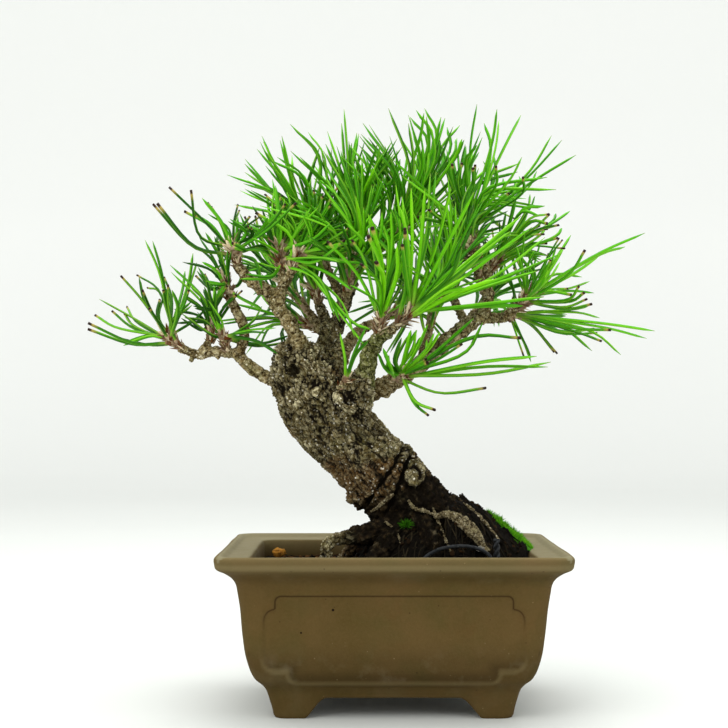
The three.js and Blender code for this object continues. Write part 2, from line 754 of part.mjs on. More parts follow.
/** The free facet that faces a tip best, or undefined where each near one has its needle. */
function facetFacing(facets, end, tip) {
  const direction = tip.clone().sub(end).normalize();
  const angle = (facet) => facet.outward.angleTo(direction);
  const free = facets.filter((facet) => !facet.needle && angle(facet) < WIDEST_FACET_ANGLE);
  return free.sort((one, other) => angle(one) - angle(other))[0];
}

function clearOf(rods, others, space) {
  return others.every((other) =>
    rods.every((rod) => rodDistance(rod, other) > rod.radius + other.radius + space),
  );
}

/** Gives a tuft's facets their needles, each clear of all the wood and of every other needle. */
function growNeedles(name, tuft, seed, obstacles) {
  const roll = dice(seed);
  const end = vector(tuft.to);
  const along = vector(tuft.along).normalize();
  const facets = knobFacets(tuft);
  const growTo = (tip) => {
    const facet = facetFacing(facets, end, tip);
    if (!facet) return false;
    const bend = facet.root.clone().lerp(tip, 0.5);
    bend.z -= NEEDLE_SAG * Math.hypot(tip.x - end.x, tip.y - end.y);
    const apart = facet.root.clone().lerp(bend, TOUCHING_SHARE);
    const rodsFrom = (start) => [
      { owner: name, from: start, to: bend, radius: NEEDLE_RADIUS },
      { owner: name, from: bend, to: tip, radius: NEEDLE_RADIUS },
    ];
    const others = obstacles.filter(({ owner }) => owner !== name && owner !== `${name} shoot`);
    const siblings = obstacles.filter(({ owner }) => owner === name);
    if (!clearOf(rodsFrom(facet.root), others, GAP)) return false;
    if (!clearOf(rodsFrom(apart), siblings, 0)) return false;
    facet.needle = { bend, tip };
    obstacles.push(...rodsFrom(apart));
    return true;
  };
  const jitter = (size) =>
    new THREE.Vector3(roll() - 0.5, roll() - 0.5, roll() - 0.5).multiplyScalar(size);
  tuft.reach.forEach((tip) => {
    for (let i = 0; i < TRIES_PER_NEEDLE; i += 1) {
      if (growTo(vector(tip).add(jitter(i * JITTER_PER_TRY)))) break;
    }
  });
  for (let grown = 0; grown < tuft.count; grown += 1) {
    for (let i = 0; i < TRIES_PER_NEEDLE; i += 1) {
      const size = THREE.MathUtils.lerp(...tuft.length, roll());
      const direction = randomDirection(along, tuft.spread, roll);
      if (growTo(end.clone().addScaledVector(direction, size))) break;
    }
  }
  return facets;
}

/** The triangles of one facet: the facet itself, or the sides and point of its needle. */
function facetTriangles({ corners, root, needle }) {
  if (!needle) return corners;
  const ring = corners.map((corner) => corner.clone().sub(root).add(needle.bend));
  const triangles = [];
  for (let i = 0; i < 3; i += 1) {
    const next = (i + 1) % 3;
    triangles.push(corners[i], corners[next], ring[next]);
    triangles.push(corners[i], ring[next], ring[i]);
    triangles.push(ring[i], ring[next], needle.tip);
  }
  return triangles;
}

function tuft(shape, facets, parentRoom) {
  const crown = new THREE.BufferGeometry().setFromPoints(facets.flatMap(facetTriangles));
  const shoot = limb(shootRoute(shape), SHOOT_RADII, { sides: 6, steps: 3 });
  return largestPiece(shoot.add(solidOf(crown)).subtract(parentRoom));
}

// ---------------------------------------------------------------- on the soil

/** The moss cushion on the right of the mound, which spills a little way over the rim's lip. */
function mossCushion(buried) {
  const thickness = 3;
  const patch = ellipsoid([45, -5, 66], [13, 18, 13]).intersect(insideWall());
  const onMound = mound(thickness).intersect(patch);
  const aboveLip = box(20, 40, 8, [52, -6, LIP_TOP + GAP + 4]);
  const onLip = ellipsoid([50, -6, LIP_TOP], [6.5, 14, 4.6], 14).intersect(aboveLip);
  return largestPiece(onMound.add(onLip).subtract(joined(buried)));
}

/** The ochre pebble lies on the flat soil, the grey one on the heap's slope. */
const OCHRE_PEBBLE = { centre: [-46, 28, SOIL_TOP + GAP + 1.8], radii: [2.8, 2.2, 1.8] };
const GREY_PEBBLE = { centre: [33, -28.6, 62], radii: [2, 1.5, 1.3] };

function pebble({ centre, radii }) {
  return ellipsoid(centre, radii, 8);
}

const WIRE_RADIUS = 0.65;
const WIRE_ARCH = [
  [8.5, -36, 51.5],
  [9.5, -36, 56.5],
  [12, -36, 60],
  [17, -35.5, 62.6],
  [23, -35, 63.6],
  [29, -34.5, 63.2],
  [33.5, -34.5, 61.4],
  [36, -35, 58.6],
  [37.4, -35.3, 51.5],
];

/** The two strands of the wire's end, twisted round each other and standing up. */
const TWIST = { foot: [37.8, -34.5, 51.5], height: 14.5, turns: 2.5, radius: 0.62 };

function tieWire(grow = 0) {
  const arch = limb(WIRE_ARCH, [WIRE_RADIUS, WIRE_RADIUS], { sides: 6, steps: 14, grow });
  const strands = [0, Math.PI].map((start) => {
    const route = Array.from({ length: 11 }, (_, i) => {
      const turn = start + (i / 10) * TWIST.turns * 2 * Math.PI;
      const [x, y, z] = TWIST.foot;
      const [acrossX, acrossY] = [TWIST.radius * Math.cos(turn), TWIST.radius * Math.sin(turn)];
      return [x + acrossX, y + acrossY, z + (i / 10) * TWIST.height];
    });
    return limb(route, [WIRE_RADIUS, WIRE_RADIUS], { sides: 5, steps: 12, grow });
  });
  return joined([arch, ...strands]);
}

export default model();

/** Puts every piece together, with the middle of the whole over the origin. */
function model() {
  const pieces = new THREE.Group();
  const add = (name, solid, material) => pieces.add(meshOf(name, solid, material));

  const trunkSolid = trunk();
  const trunkRoom = trunk(GAP);
  const wireRoom = tieWire(GAP);

  add('pot', pot(), CLAY);
  [['left', -DRAIN_OFFSET], ['right', DRAIN_OFFSET]].forEach(([side, x]) => {
    add(`drain_mesh_${side}`, drainMesh(x), BLACK_MESH);
    add(`mesh_clip_${side}`, meshClip(x), BLACK_WIRE);
  });
  add('drainage_grit', grit(), GRIT);
  add('soil', soil([trunkRoom, wireRoom]), SOIL);
  add('moss_cushion', mossCushion([trunkRoom, wireRoom, mound(GAP)]), MOSS);
  add('moss_tuft', ellipsoid([5, -18, 70], [3.2, 3, 2.6], 10).subtract(trunkRoom), MOSS);
  add('ochre_pebble', pebble(OCHRE_PEBBLE), OCHRE_STONE);
  const stoneBed = trunkRoom.add(mound(GAP));
  const greyStone = pebble(GREY_PEBBLE).subtract(stoneBed);
  add('grey_stone', largestPiece(greyStone), GREY_STONE);
  add('tie_wire', tieWire(), BLACK_WIRE);
  add('trunk', trunkSolid, BARK);

  const rooms = { trunk: trunkRoom };
  const obstacles = rodsAlong('trunk', TRUNK_ROUTE, TRUNK_RADII, 12);
  Object.entries(BRANCHES).forEach(([name, limbs]) => {
    add(name, largestPiece(branch(limbs).subtract(joined(Object.values(rooms)))), YOUNG_BARK);
    rooms[name] = branch(limbs, GAP);
    limbs.forEach(({ route, radii }) => obstacles.push(...rodsAlong(name, route, radii)));
  });
  Object.entries(TUFTS).forEach(([name, shape]) => {
    obstacles.push(...shootRods(name, shape));
  });
  Object.entries(TUFTS).forEach(([name, shape], i) => {
    const facets = growNeedles(name, shape, 11 + 7 * i, obstacles);
    add(`needles_${name}`, tuft(shape, facets, rooms[shape.parent]), NEEDLES);
  });

  const box = new THREE.Box3().setFromObject(pieces);
  const middle = box.getCenter(new THREE.Vector3());
  pieces.position.set(-middle.x, -middle.y, -box.min.z);
  pieces.updateMatrixWorld(true);
  return pieces;
}
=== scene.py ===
import math
import random

import bmesh
import bpy
from mathutils import Matrix, Vector, kdtree, noise


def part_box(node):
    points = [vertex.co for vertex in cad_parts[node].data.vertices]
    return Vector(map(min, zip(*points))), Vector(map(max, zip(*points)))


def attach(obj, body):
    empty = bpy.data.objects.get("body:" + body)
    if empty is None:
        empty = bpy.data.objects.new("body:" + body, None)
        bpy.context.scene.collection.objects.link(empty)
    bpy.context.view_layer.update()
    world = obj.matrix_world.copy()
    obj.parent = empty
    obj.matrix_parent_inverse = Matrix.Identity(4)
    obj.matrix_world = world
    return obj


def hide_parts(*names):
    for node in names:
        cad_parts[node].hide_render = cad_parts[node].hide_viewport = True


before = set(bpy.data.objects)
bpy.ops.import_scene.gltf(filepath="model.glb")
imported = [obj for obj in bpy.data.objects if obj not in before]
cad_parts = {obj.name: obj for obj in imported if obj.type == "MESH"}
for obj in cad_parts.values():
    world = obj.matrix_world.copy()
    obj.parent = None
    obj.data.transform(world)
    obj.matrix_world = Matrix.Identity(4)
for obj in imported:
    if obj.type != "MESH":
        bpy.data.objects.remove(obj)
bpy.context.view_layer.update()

# A pine bonsai in a footed clay pot. Every shape is drawn in millimetres from the middle of the
# pot's base, +X to the viewer's right and +Y away from the front, and becomes metres in piece().

MM = 0.001
POT_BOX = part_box("pot")
POT_MIDDLE = Vector([(POT_BOX[0][i] + POT_BOX[1][i]) / 2 for i in (0, 1)] + [0])

BODY = "root"

# The photograph's side in pixels, and the camera that took it.
PHOTO_SIDE = 728
PHOTO_FOCAL = 1396.5
CAMERA_PLACE = Vector((-10.9, -549.3, 112.7))
CAMERA_TILT = math.radians(1.98)
SENSOR_WIDTH = 36


# ------------------------------------------------------------------ small helpers

def smoothstep(low, high, value):
    share = min(max((value - low) / (high - low), 0.0), 1.0)
    return share * share * (3 - 2 * share)


def lerp(low, high, share):
    return low + (high - low) * share


def colour(text):
    """A colour written as rrggbb, for a shader's socket."""
    values = [int(text[i:i + 2], 16) / 255 for i in (0, 2, 4)]
    return [v / 12.92 if v <= 0.04045 else ((v + 0.055) / 1.055) ** 2.4 for v in values] + [1.0]


def along_list(values, share):
    at = share * (len(values) - 1)
    low = min(int(at), len(values) - 2)
    return lerp(values[low], values[low + 1], at - low)


def along_curve(route, share):
    """The spot at a share of the way along a smooth curve through the route's points."""
    spans = len(route) - 1
    at = min(max(share * spans, 0.0), spans - 1e-6)
    i = int(at)
    t = at - i
    start, end = route[i], route[i + 1]
    before = route[i - 1] if i else start * 2 - end
    after = route[i + 2] if i + 2 < len(route) else end * 2 - start
    bend = before * 2 - start * 5 + end * 4 - after
    twist = after - before + (start - end) * 3
    return (start * 2 + (end - before) * t + bend * t * t + twist * t * t * t) / 2


def length_of(route):
    return sum((b - a).length for a, b in zip(route, route[1:]))


def sideways(direction, reference=None):
    """Two directions square to a direction and to each other."""
    reference = reference or (Vector((0, 1, 0)) if abs(direction.y) < 0.9 else Vector((1, 0, 0)))
    across = (reference - direction * reference.dot(direction)).normalized()
    return across, direction.cross(across)


def from_photo(pixel, depth):
    """The place that the photograph shows at a pixel, at a depth given by its Y."""
    rise = (PHOTO_SIDE / 2 - pixel[1]) / PHOTO_FOCAL
    away = depth - CAMERA_PLACE.y
    up = away * math.tan(math.atan(rise) + CAMERA_TILT)
    reach = math.hypot(away, up) * math.cos(math.atan(rise))
    across = (pixel[0] - PHOTO_SIDE / 2) * reach / PHOTO_FOCAL
    return Vector((CAMERA_PLACE.x + across, depth, CAMERA_PLACE.z + up))


def mesh_of(bm, name):
    """Turns a shape into a mesh and frees the shape."""
    mesh = bpy.data.meshes.new(name)
    bm.to_mesh(mesh)
    bm.free()
    return mesh


def new_object(name, data):
    made = bpy.data.objects.new(name, data)
    bpy.context.scene.collection.objects.link(made)
    return made


def new_layers(bm, *names):
    """A value of each name for every vertex of a shape."""
    return [bm.verts.layers.float.new(name) for name in names]


def added(bm, mesh):
    """Adds a small mesh to a shape and gives its new vertices."""
    count = len(bm.verts)
    bm.from_mesh(mesh)
    bm.verts.ensure_lookup_table()
    return bm.verts[count:]


def piece(name, bm, material, nodes=(), sharp_angle=None):
    """Makes the finished object from a shape in millimetres, and fixes it to the frame."""
    bmesh.ops.scale(bm, vec=(MM, MM, MM), verts=bm.verts)
    bmesh.ops.translate(bm, vec=POT_MIDDLE, verts=bm.verts)
    mesh = mesh_of(bm, name)
    mesh.shade_smooth()
    if sharp_angle:
        mesh.set_sharp_from_angle(angle=math.radians(sharp_angle))
    mesh.materials.append(material)
    made = new_object(name, mesh)
    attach(made, BODY)
    if nodes:
        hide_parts(*nodes)


# ------------------------------------------------------------------ shader helpers

def node(tree, kind, sockets=None, **settings):
    """Adds a node; each socket gets a plain value or a link from another node's output."""
    made = tree.nodes.new(kind)
    for key, value in settings.items():
        setattr(made, key, value)
    for key, value in (sockets or {}).items():
        if isinstance(value, bpy.types.NodeSocket):
            tree.links.new(value, made.inputs[key])
        else:
            made.inputs[key].default_value = value
    return made


def mixed(tree, mask, low, high):
    """Goes from the low colour to the high one as the mask goes from 0 to 1."""
    sockets = {0: mask, 6: low, 7: high}
    return node(tree, "ShaderNodeMix", sockets, data_type="RGBA").outputs[2]


def maths(tree, operation, first, second):
    return node(tree, "ShaderNodeMath", {0: first, 1: second}, operation=operation).outputs[0]


def times(tree, first, second):
    return maths(tree, "MULTIPLY", first, second)


def ranged(tree, value, low, high, to_low=0.0, to_high=1.0):
    sockets = {0: value, 1: low, 2: high, 3: to_low, 4: to_high}
    return node(tree, "ShaderNodeMapRange", sockets).outputs[0]


def attribute(tree, name):
    return node(tree, "ShaderNodeAttribute", attribute_name=name).outputs["Fac"]


def own_place(tree):
    """The place on the object itself, in metres."""
    return node(tree, "ShaderNodeTexCoord").outputs["Object"]


def cloud(tree, scale, detail, roughness=0.5):
    """The outputs of noise that is fixed to the object."""
    sockets = {"Vector": own_place(tree), "Scale": scale, "Detail": detail, "Roughness": roughness}
    return node(tree, "ShaderNodeTexNoise", sockets).outputs


FLOAT = "NodeSocketFloat"
WAVER = 2.2  # how far a crack wavers


def new_group(name, labels, kind=FLOAT):
    """An empty node group with a float input for each label, and one result."""
    group = bpy.data.node_groups.new(name, "ShaderNodeTree")
    for label in labels:
        group.interface.new_socket(name=label, in_out="INPUT", socket_type=FLOAT)
    group.interface.new_socket(name="Result", in_out="OUTPUT", socket_type=kind)
    given = group.nodes.new("NodeGroupInput").outputs
    return group, given, group.nodes.new("NodeGroupOutput").inputs["Result"]


def blotches_group():
    """Soft patches: a mask that rises from 0 at Low to 1 at High."""
    group, given, result = new_group("blotches", ("Scale", "Low", "High"))
    soft = cloud(group, given["Scale"], 5.0, 0.62)[0]
    group.links.new(ranged(group, soft, given["Low"], given["High"]), result)
    return group


def specks_group():
    """Small scattered specks, each less than Size of its cell."""
    group, given, result = new_group("specks", ("Scale", "Size"))
    cells = node(group, "ShaderNodeTexVoronoi",
                 {"Vector": own_place(group), "Scale": given["Scale"]}).outputs
    near = ranged(group, cells["Distance"], given["Size"], times(group, given["Size"], 0.5))
    chosen = ranged(group, cells["Color"], 0.62, 0.7)
    group.links.new(times(group, near, chosen), result)
    return group


def cracks_group():
    """A net of thin wavering cracks, each as wide as Width of its cell."""
    group, given, result = new_group("cracks", ("Scale", "Width"))
    offset = node(group, "ShaderNodeVectorMath",
                  {0: cloud(group, given["Scale"], 3.0)["Color"], "Scale": WAVER * MM},
                  operation="SCALE").outputs[0]
    bent = node(group, "ShaderNodeVectorMath", {0: own_place(group), 1: offset},
                operation="ADD").outputs[0]
    cells = node(group, "ShaderNodeTexVoronoi", {"Vector": bent, "Scale": given["Scale"]},
                 feature="DISTANCE_TO_EDGE").outputs
    group.links.new(ranged(group, cells["Distance"], given["Width"], 0.0), result)
    return group


def grain_group():
    """A fine rough surface: a normal from noise."""
    group, given, result = new_group("grain", ("Scale", "Strength", "Distance"),
                                     "NodeSocketVector")
    sockets = {label: given[label] for label in ("Strength", "Distance")}
    sockets["Height"] = cloud(group, given["Scale"], 6.0, 0.7)[0]
    group.links.new(node(group, "ShaderNodeBump", sockets).outputs[0], result)
    return group


BLOTCHES = blotches_group()
SPECKS = specks_group()
CRACKS = cracks_group()
GRAIN = grain_group()


def use(tree, group, **values):
    made = tree.nodes.new("ShaderNodeGroup")
    made.node_tree = group
    for key, value in values.items():
        made.inputs[key].default_value = value
    return made.outputs[0]


def blotches(tree, size_mm, low, high):
    return use(tree, BLOTCHES, Scale=1 / (size_mm * MM), Low=low, High=high)


def specks(tree, spacing_mm, size):
    return use(tree, SPECKS, Scale=1 / (spacing_mm * MM), Size=size)


def cracks(tree, spacing_mm, width):
    return use(tree, CRACKS, Scale=1 / (spacing_mm * MM), Width=width)


def grain(tree, size_mm, depth_mm, strength=1.0):
    return use(tree, GRAIN, Scale=1 / (size_mm * MM), Strength=strength, Distance=depth_mm * MM)


MATTE_SHINE = 0.05


def new_material(name, **plain):
    """A Principled material with the plain values that are the same all over."""
    material = bpy.data.materials.new(name)
    material.use_nodes = True
    tree = material.node_tree
    shader = tree.nodes["Principled BSDF"]
    shader.inputs["Specular IOR Level"].default_value = MATTE_SHINE
    for label, value in plain.items():
        shader.inputs[label.replace("_", " ")].default_value = value
    return material, tree, shader


def finished(tree, shader, base, roughness=None, normal=None):
    tree.links.new(base, shader.inputs["Base Color"])
    if roughness is not None:
        tree.links.new(roughness, shader.inputs["Roughness"])
    if normal is not None:
        tree.links.new(normal, shader.inputs["Normal"])


def layered(tree, body, *layers):
    """Lays colours over a body one after another, each by a share of its mask."""
    for mask, share, tint in layers:
        body = mixed(tree, times(tree, mask, share), body, colour(tint))
    return body


def rough_patches(tree, size_mm, low, high):
    return ranged(tree, blotches(tree, size_mm, 0.3, 0.7), 0.0, 1.0, low, high)


# Two small pits in the front wall, drawn only as dots of painted shade: each one's pixel, the wall's
# Y, its radius.
PITS = [((333, 610), -42.5, 0.6), ((301, 633), -41.8, 0.5)]


def clay_material():
    """Unglazed brown clay: mottled, faintly speckled, with painted shade in recesses, under the rim
    and low on the body, pale on rubbed edges with painted highlights on the ledges and the rim, and
    painted shadow lines along the panels' tops.
    """
    material, tree, shader = new_material("unglazed_clay")
    body = mixed(tree, blotches(tree, 34, 0.38, 0.62), colour("4e3f1f"), colour("574526"))
    shade = attribute(tree, "shade")
    # A thin painted shadow line along each panel's outline, under its overhang at the top.
    off_line = maths(tree, "ABSOLUTE", maths(tree, "ADD", attribute(tree, "gap"), 0.1), 0.0)
    line = times(tree, ranged(tree, off_line, 0.5, 0.05), attribute(tree, "panel_top_shadow"))
    body = layered(
        tree, body,
        (blotches(tree, 21, 0.5, 0.68), 0.6, "4a4120"),
        (blotches(tree, 15, 0.56, 0.74), 0.4, "593f22"),
        (blotches(tree, 0.9, 0.35, 0.75), 0.22, "6b5533"),
        (shade, 0.8, "1f1509"),
        # Pale on rubbed edges, plus painted highlights on the panels' lower ledges and the rim's
        # edges.
        (attribute(tree, "wear_and_highlight"), 0.7, "807555"),
        (attribute(tree, "ashen"), 0.45, "8e8a70"),
        (times(tree, blotches(tree, 12, 0.5, 0.75), shade), 0.45, "8b8068"),
        (specks(tree, 2.9, 0.1), 0.35, "97825f"),
        (specks(tree, 4.1, 0.1), 0.5, "2c2013"),
        # The painted shadow line along the panels' tops.
        (line, 0.75, "2a1a0a"))
    for pixel, wall, radius in PITS:
        centre = POT_MIDDLE + from_photo(pixel, wall) * MM
        away = node(tree, "ShaderNodeVectorMath", {0: own_place(tree), 1: centre},
                    operation="DISTANCE").outputs["Value"]
        dot = ranged(tree, away, radius * MM, 0.6 * radius * MM)
        # A dot of painted shade for each pit.
        body = mixed(tree, dot, body, colour("120b05"))
    finished(tree, shader, body, rough_patches(tree, 6, 0.62, 0.82), grain(tree, 0.7, 0.1, 0.7))
    return material


CRACK_WIDTH = 0.07


def bark_material(name, crevice_and_shade, middle, plate, edge, fleck, moss, size_mm):
    """Flaky bark: the height attribute goes from the crevices, dark partly with painted shade, to the
    plates' tops, which get a painted highlight.
    """
    material, tree, shader = new_material(name)
    height = attribute(tree, "height")
    fine = blotches(tree, size_mm * 1.5, 0.44, 0.62)
    soiled = times(tree, attribute(tree, "soiled"), 0.93)
    flecks = times(tree, specks(tree, size_mm * 1.1, 0.42), blotches(tree, size_mm * 4, 0.42, 0.56))
    plates = layered(
        tree, mixed(tree, attribute(tree, "tone"), colour(middle), colour(plate)),
        (fine, 0.5, edge),
        (blotches(tree, size_mm * 6, 0.5, 0.68), 0.5, moss),
        # Painted highlight on the highest plates and flakes.
        (ranged(tree, height, 0.78, 1.02), 0.9, edge),
        (attribute(tree, "ruddy"), 0.62, "5a381c"),
        (soiled, 1.0, "0b0805"),
        (times(tree, flecks, ranged(tree, soiled, 0.6, 0.1)), 1.0, fleck))
    # The crevices and the thin cracks take the crevices' dark colour: partly the darker bark inside
    # them, partly painted shade.
    body = layered(
        tree, mixed(tree, ranged(tree, height, 0.05, 0.38), colour(crevice_and_shade), plates),
        (cracks(tree, size_mm * 1.7, CRACK_WIDTH), 0.45, crevice_and_shade),
        (cracks(tree, size_mm * 3.0, CRACK_WIDTH), 0.8, crevice_and_shade))
    rough = ranged(tree, fine, 0.0, 1.0, 0.75, 0.95)
    finished(tree, shader, body, rough, grain(tree, size_mm * 0.4, 0.3))
    return material


def needle_material():
    """Pine needles: from blue-green to yellow-green, pale at the foot, brown at a cut end, with
    painted shade down one side and a painted highlight down the other.
    """
    material, tree, shader = new_material("pine_needles", Specular_IOR_Level=0.1)
    along = attribute(tree, "along")
    tone = attribute(tree, "tone")
    face = attribute(tree, "face")
    cut = attribute(tree, "cut")
    body = layered(
        tree, mixed(tree, ranged(tree, tone, 0.0, 0.6), colour("225209"), colour("4fa60d")),
        (ranged(tree, tone, 0.55, 1.0), 1.0, "72c60a"),
        (blotches(tree, 5, 0.45, 0.75), 0.3, "28600e"),
        # Painted shade down one side of each needle and a painted highlight down the other.
        (ranged(tree, face, -0.35, -0.95), 0.65, "0e3604"),
        (ranged(tree, face, 0.35, 0.95), 0.45, "98d436"),
        (ranged(tree, along, 0.16, 0.0), 0.8, "a4c44c"),
        (times(tree, cut, ranged(tree, along, 0.88, 0.95)), 1.0, "9c8a45"),
        (times(tree, cut, ranged(tree, along, 0.95, 0.97)), 1.0, "2a1a10"),
        (times(tree, ranged(tree, along, 0.965, 1.0), ranged(tree, cut, 1.0, 0.0)), 0.6, "8f8a3c"))
    finished(tree, shader, body, rough_patches(tree, 2, 0.34, 0.52), grain(tree, 0.35, 0.04, 0.5))
    return material


def scale_material():
    """Papery sheaths, buds and scales: white at tone 0 to red-brown at tone 1."""
    material, tree, shader = new_material("papery_scales", Roughness=0.8)
    body = layered(
        tree, mixed(tree, attribute(tree, "tone"), colour("eadcba"), colour("441a07")),
        (blotches(tree, 0.8, 0.4, 0.6), 0.3, "9a6028"),
        (ranged(tree, attribute(tree, "along"), 0.75, 1.0), 0.3, "dcc08a"))
    finished(tree, shader, body, None, grain(tree, 0.3, 0.1, 0.9))
    return material


def mixed_material(name, dark, light, speck, size_mm, rough_low, rough_high, bump_mm):
    """A plain mottled surface with specks, for soil, stone, grit, mesh and coated wire."""
    material, tree, shader = new_material(name)
    body = layered(
        tree, mixed(tree, blotches(tree, size_mm, 0.35, 0.65), colour(dark), colour(light)),
        (specks(tree, size_mm * 0.6, 0.3), 0.7, speck))
    rough = rough_patches(tree, size_mm * 0.4, rough_low, rough_high)
    finished(tree, shader, body, rough, grain(tree, size_mm * 0.3, bump_mm))
    return material


def toned_material(name, dark, light, bright, size_mm, rough):
    """Many small parts whose tone attribute runs from dark over light to bright."""
    material, tree, shader = new_material(name, Roughness=rough)
    tone = attribute(tree, "tone")
    body = layered(
        tree, mixed(tree, ranged(tree, tone, 0.0, 0.6), colour(dark), colour(light)),
        (ranged(tree, tone, 0.6, 1.0), 1.0, bright),
        (blotches(tree, size_mm, 0.4, 0.7), 0.4, dark))
    finished(tree, shader, body, None, grain(tree, size_mm * 0.4, 0.12))
    return material


CLAY = clay_material()
# For each bark: its name, the crevices' colour (partly painted shade), the middle and plate colours,
# the pale colour of patches and painted highlights, the flecks', the moss's, and the size in mm of its
# pattern.
OLD_BARK, TWIG_BARK, PALE_BARK, STUB_BARK = [bark_material(*facts) for facts in (
    ("old_bark", "100b05", "493d20", "7f7047", "c8be98", "f4eedc", "524e28", 1.1),
    ("twig_bark", "33260f", "786642", "a79668", "d6caa2", "e6dec4", "6b6a3a", 1.1),
    ("pale_root_bark", "2c2315", "665a3f", "8a7e60", "aaa083", "c4bca4", "6d6543", 1.0),
    ("mossy_bark", "2c2c12", "696b34", "96935f", "bab68c", "d6d4b2", "55701f", 1.1),
)]
NEEDLE = needle_material()
SCALES = scale_material()
SOIL = mixed_material("damp_soil", "070503", "130f0a", "3a2e20", 1.6, 0.8, 0.98, 0.7)
GRAINS = toned_material("soil_crumbs", "0b0805", "32210f", "5f4022", 0.7, 0.9)
FIBRES = toned_material("fine_roots", "0a0805", "30291c", "8f866b", 1.2, 0.85)
MOSS = toned_material("moss_shoots", "163a05", "4e980c", "96d424", 0.9, 0.7)
OCHRE = mixed_material("ochre_stone", "6d4316", "a37227", "c99b4e", 1.3, 0.45, 0.7, 0.25)
GREY = mixed_material("grey_stone", "4f4d48", "8a867c", "b5b1a6", 1.0, 0.5, 0.75, 0.2)
WIRE = mixed_material("coated_wire", "191a1c", "2f3133", "55585a", 1.4, 0.32, 0.5, 0.05)
GRIT = mixed_material("drainage_grit", "5e5142", "9b8b73", "c4b8a0", 1.8, 0.8, 0.95, 0.8)
PLASTIC_MESH = mixed_material("plastic_mesh", "121313", "262828", "404343", 1.2, 0.45, 0.6, 0.05)


# ------------------------------------------------------------------ lofts and tubes

def edges_of(verts):
    return list(dict.fromkeys(edge for vert in verts for edge in vert.link_edges))


def next_ring(bm, edges):
    """Carries open edges one row on, and gives the new vertices and the new open edges."""
    made = bmesh.ops.extrude_edge_only(bm, edges=edges)["geom"]
    verts = [part for part in made if isinstance(part, bmesh.types.BMVert)]
    edges = [part for part in made if isinstance(part, bmesh.types.BMEdge)]
    return verts, [edge for edge in edges if edge.is_boundary]


def loft(bm, columns, rows, place):
    """A ring of points carried through rows of rings, each point put at place(column, row).

    Gives the edges of the first and the last ring, which are both still open.
    """
    mark = bm.verts.layers.int.get("column") or bm.verts.layers.int.new("column")
    ring = bmesh.ops.create_circle(bm, cap_ends=False, radius=1, segments=columns)["verts"]
    for column, vert in enumerate(ring):
        vert[mark] = column
    first = edges = edges_of(ring)
    for row in range(rows):
        if row:
            ring, edges = next_ring(bm, edges)
        for vert in ring:
            vert.co = place(vert[mark], row)
    return first, edges


def tube(bm, route, radii, sides=12, spacing=1.0, swell=0.0):
    """A closed tube round a smooth curve through the route, with a radius for each point."""
    route = [Vector(spot) for spot in route]
    steps = max(4, round(length_of(route) / spacing))
    centres = [along_curve(route, i / steps) for i in range(steps + 1)]
    across = None
    frames = []
    for i in range(steps + 1):
        direction = (centres[min(i + 1, steps)] - centres[max(i - 1, 0)]).normalized()
        across, up = sideways(direction, across)
        frames.append((across, up))

    def place(column, row):
        turn = 2 * math.pi * column / sides
        radius = along_list(radii, row / steps)
        side = frames[row][0] * math.cos(turn) + frames[row][1] * math.sin(turn)
        spot = centres[row] + side * radius
        return spot + side * radius * swell * noise.noise(spot * (0.9 / radius))

    for edges in loft(bm, sides, steps + 1, place):
        bmesh.ops.edgeloop_fill(bm, edges=edges)
    bmesh.ops.recalc_face_normals(bm, faces=bm.faces)


def one_skin(bm, voxel):
    """Joins overlapping closed tubes into one even skin."""
    shape = new_object("shape", mesh_of(bm, "shape"))
    remesh = shape.modifiers.new("skin", "REMESH")
    remesh.mode = "VOXEL"
    remesh.voxel_size = voxel
    skin = bpy.data.meshes.new_from_object(
        shape.evaluated_get(bpy.context.evaluated_depsgraph_get()))
    made = bmesh.new()
    made.from_mesh(skin)
    bpy.data.meshes.remove(skin)
    bpy.data.meshes.remove(shape.data)
    return made


GUIDE_STEP = 1.5
GUIDES_APART = 40  # along the grain, from one limb's pattern to the next one's


def grain_guide(routes, stretch):
    """Where a spot lies in the wood's own grain: across its limb, and along it, shortened."""
    spots = []
    for number, route in enumerate(routes):
        route = [Vector(spot) for spot in route]
        length = length_of(route)
        steps = max(4, round(length / GUIDE_STEP))
        across = None
        for i in range(steps + 1):
            here = along_curve(route, i / steps)
            ahead = along_curve(route, min(i + 1, steps) / steps)
            behind = along_curve(route, max(i - 1, 0) / steps)
            across, up = sideways((ahead - behind).normalized(), across)
            spots.append((here, across, up, length * i / steps + GUIDES_APART * number))
    tree = kdtree.KDTree(len(spots))
    for i, spot in enumerate(spots):
        tree.insert(spot[0], i)
    tree.balance()

    def place(spot):
        _, index, _ = tree.find(spot)
        here, across, up, along = spots[index]
        away = spot - here
        level = along + away.dot(across.cross(up))
        return Vector((away.dot(across), away.dot(up), level * stretch))

    return place


LIFT = Vector((0.45, 0.25, 0.85))  # which way a flake's upper side tips
SCALES_PER_PLATE = 2.6
FISSURE_STRETCH = (1.3, 1.3, 0.55)
FISSURE_WIDTH = 0.07
SWAYS = (Vector((0, 0, 0)), Vector((31.4, 7.2, 12.9)), Vector((5.7, 41.3, 23.1)))


def sway(spot):
    """A wavering offset that is always the same at the same spot."""
    return Vector([noise.noise(spot + apart) for apart in SWAYS])


def flakes(spot):
    """How clear a spot is of the cracks between flakes, and how high its own flake stands."""
    distances, centres = noise.voronoi(spot)
    clear = smoothstep(0.01, 0.15, distances[1] - distances[0])
    return clear, noise.cell(centres[0] * 9.7) + 0.6 * (spot - centres[0]).dot(LIFT)


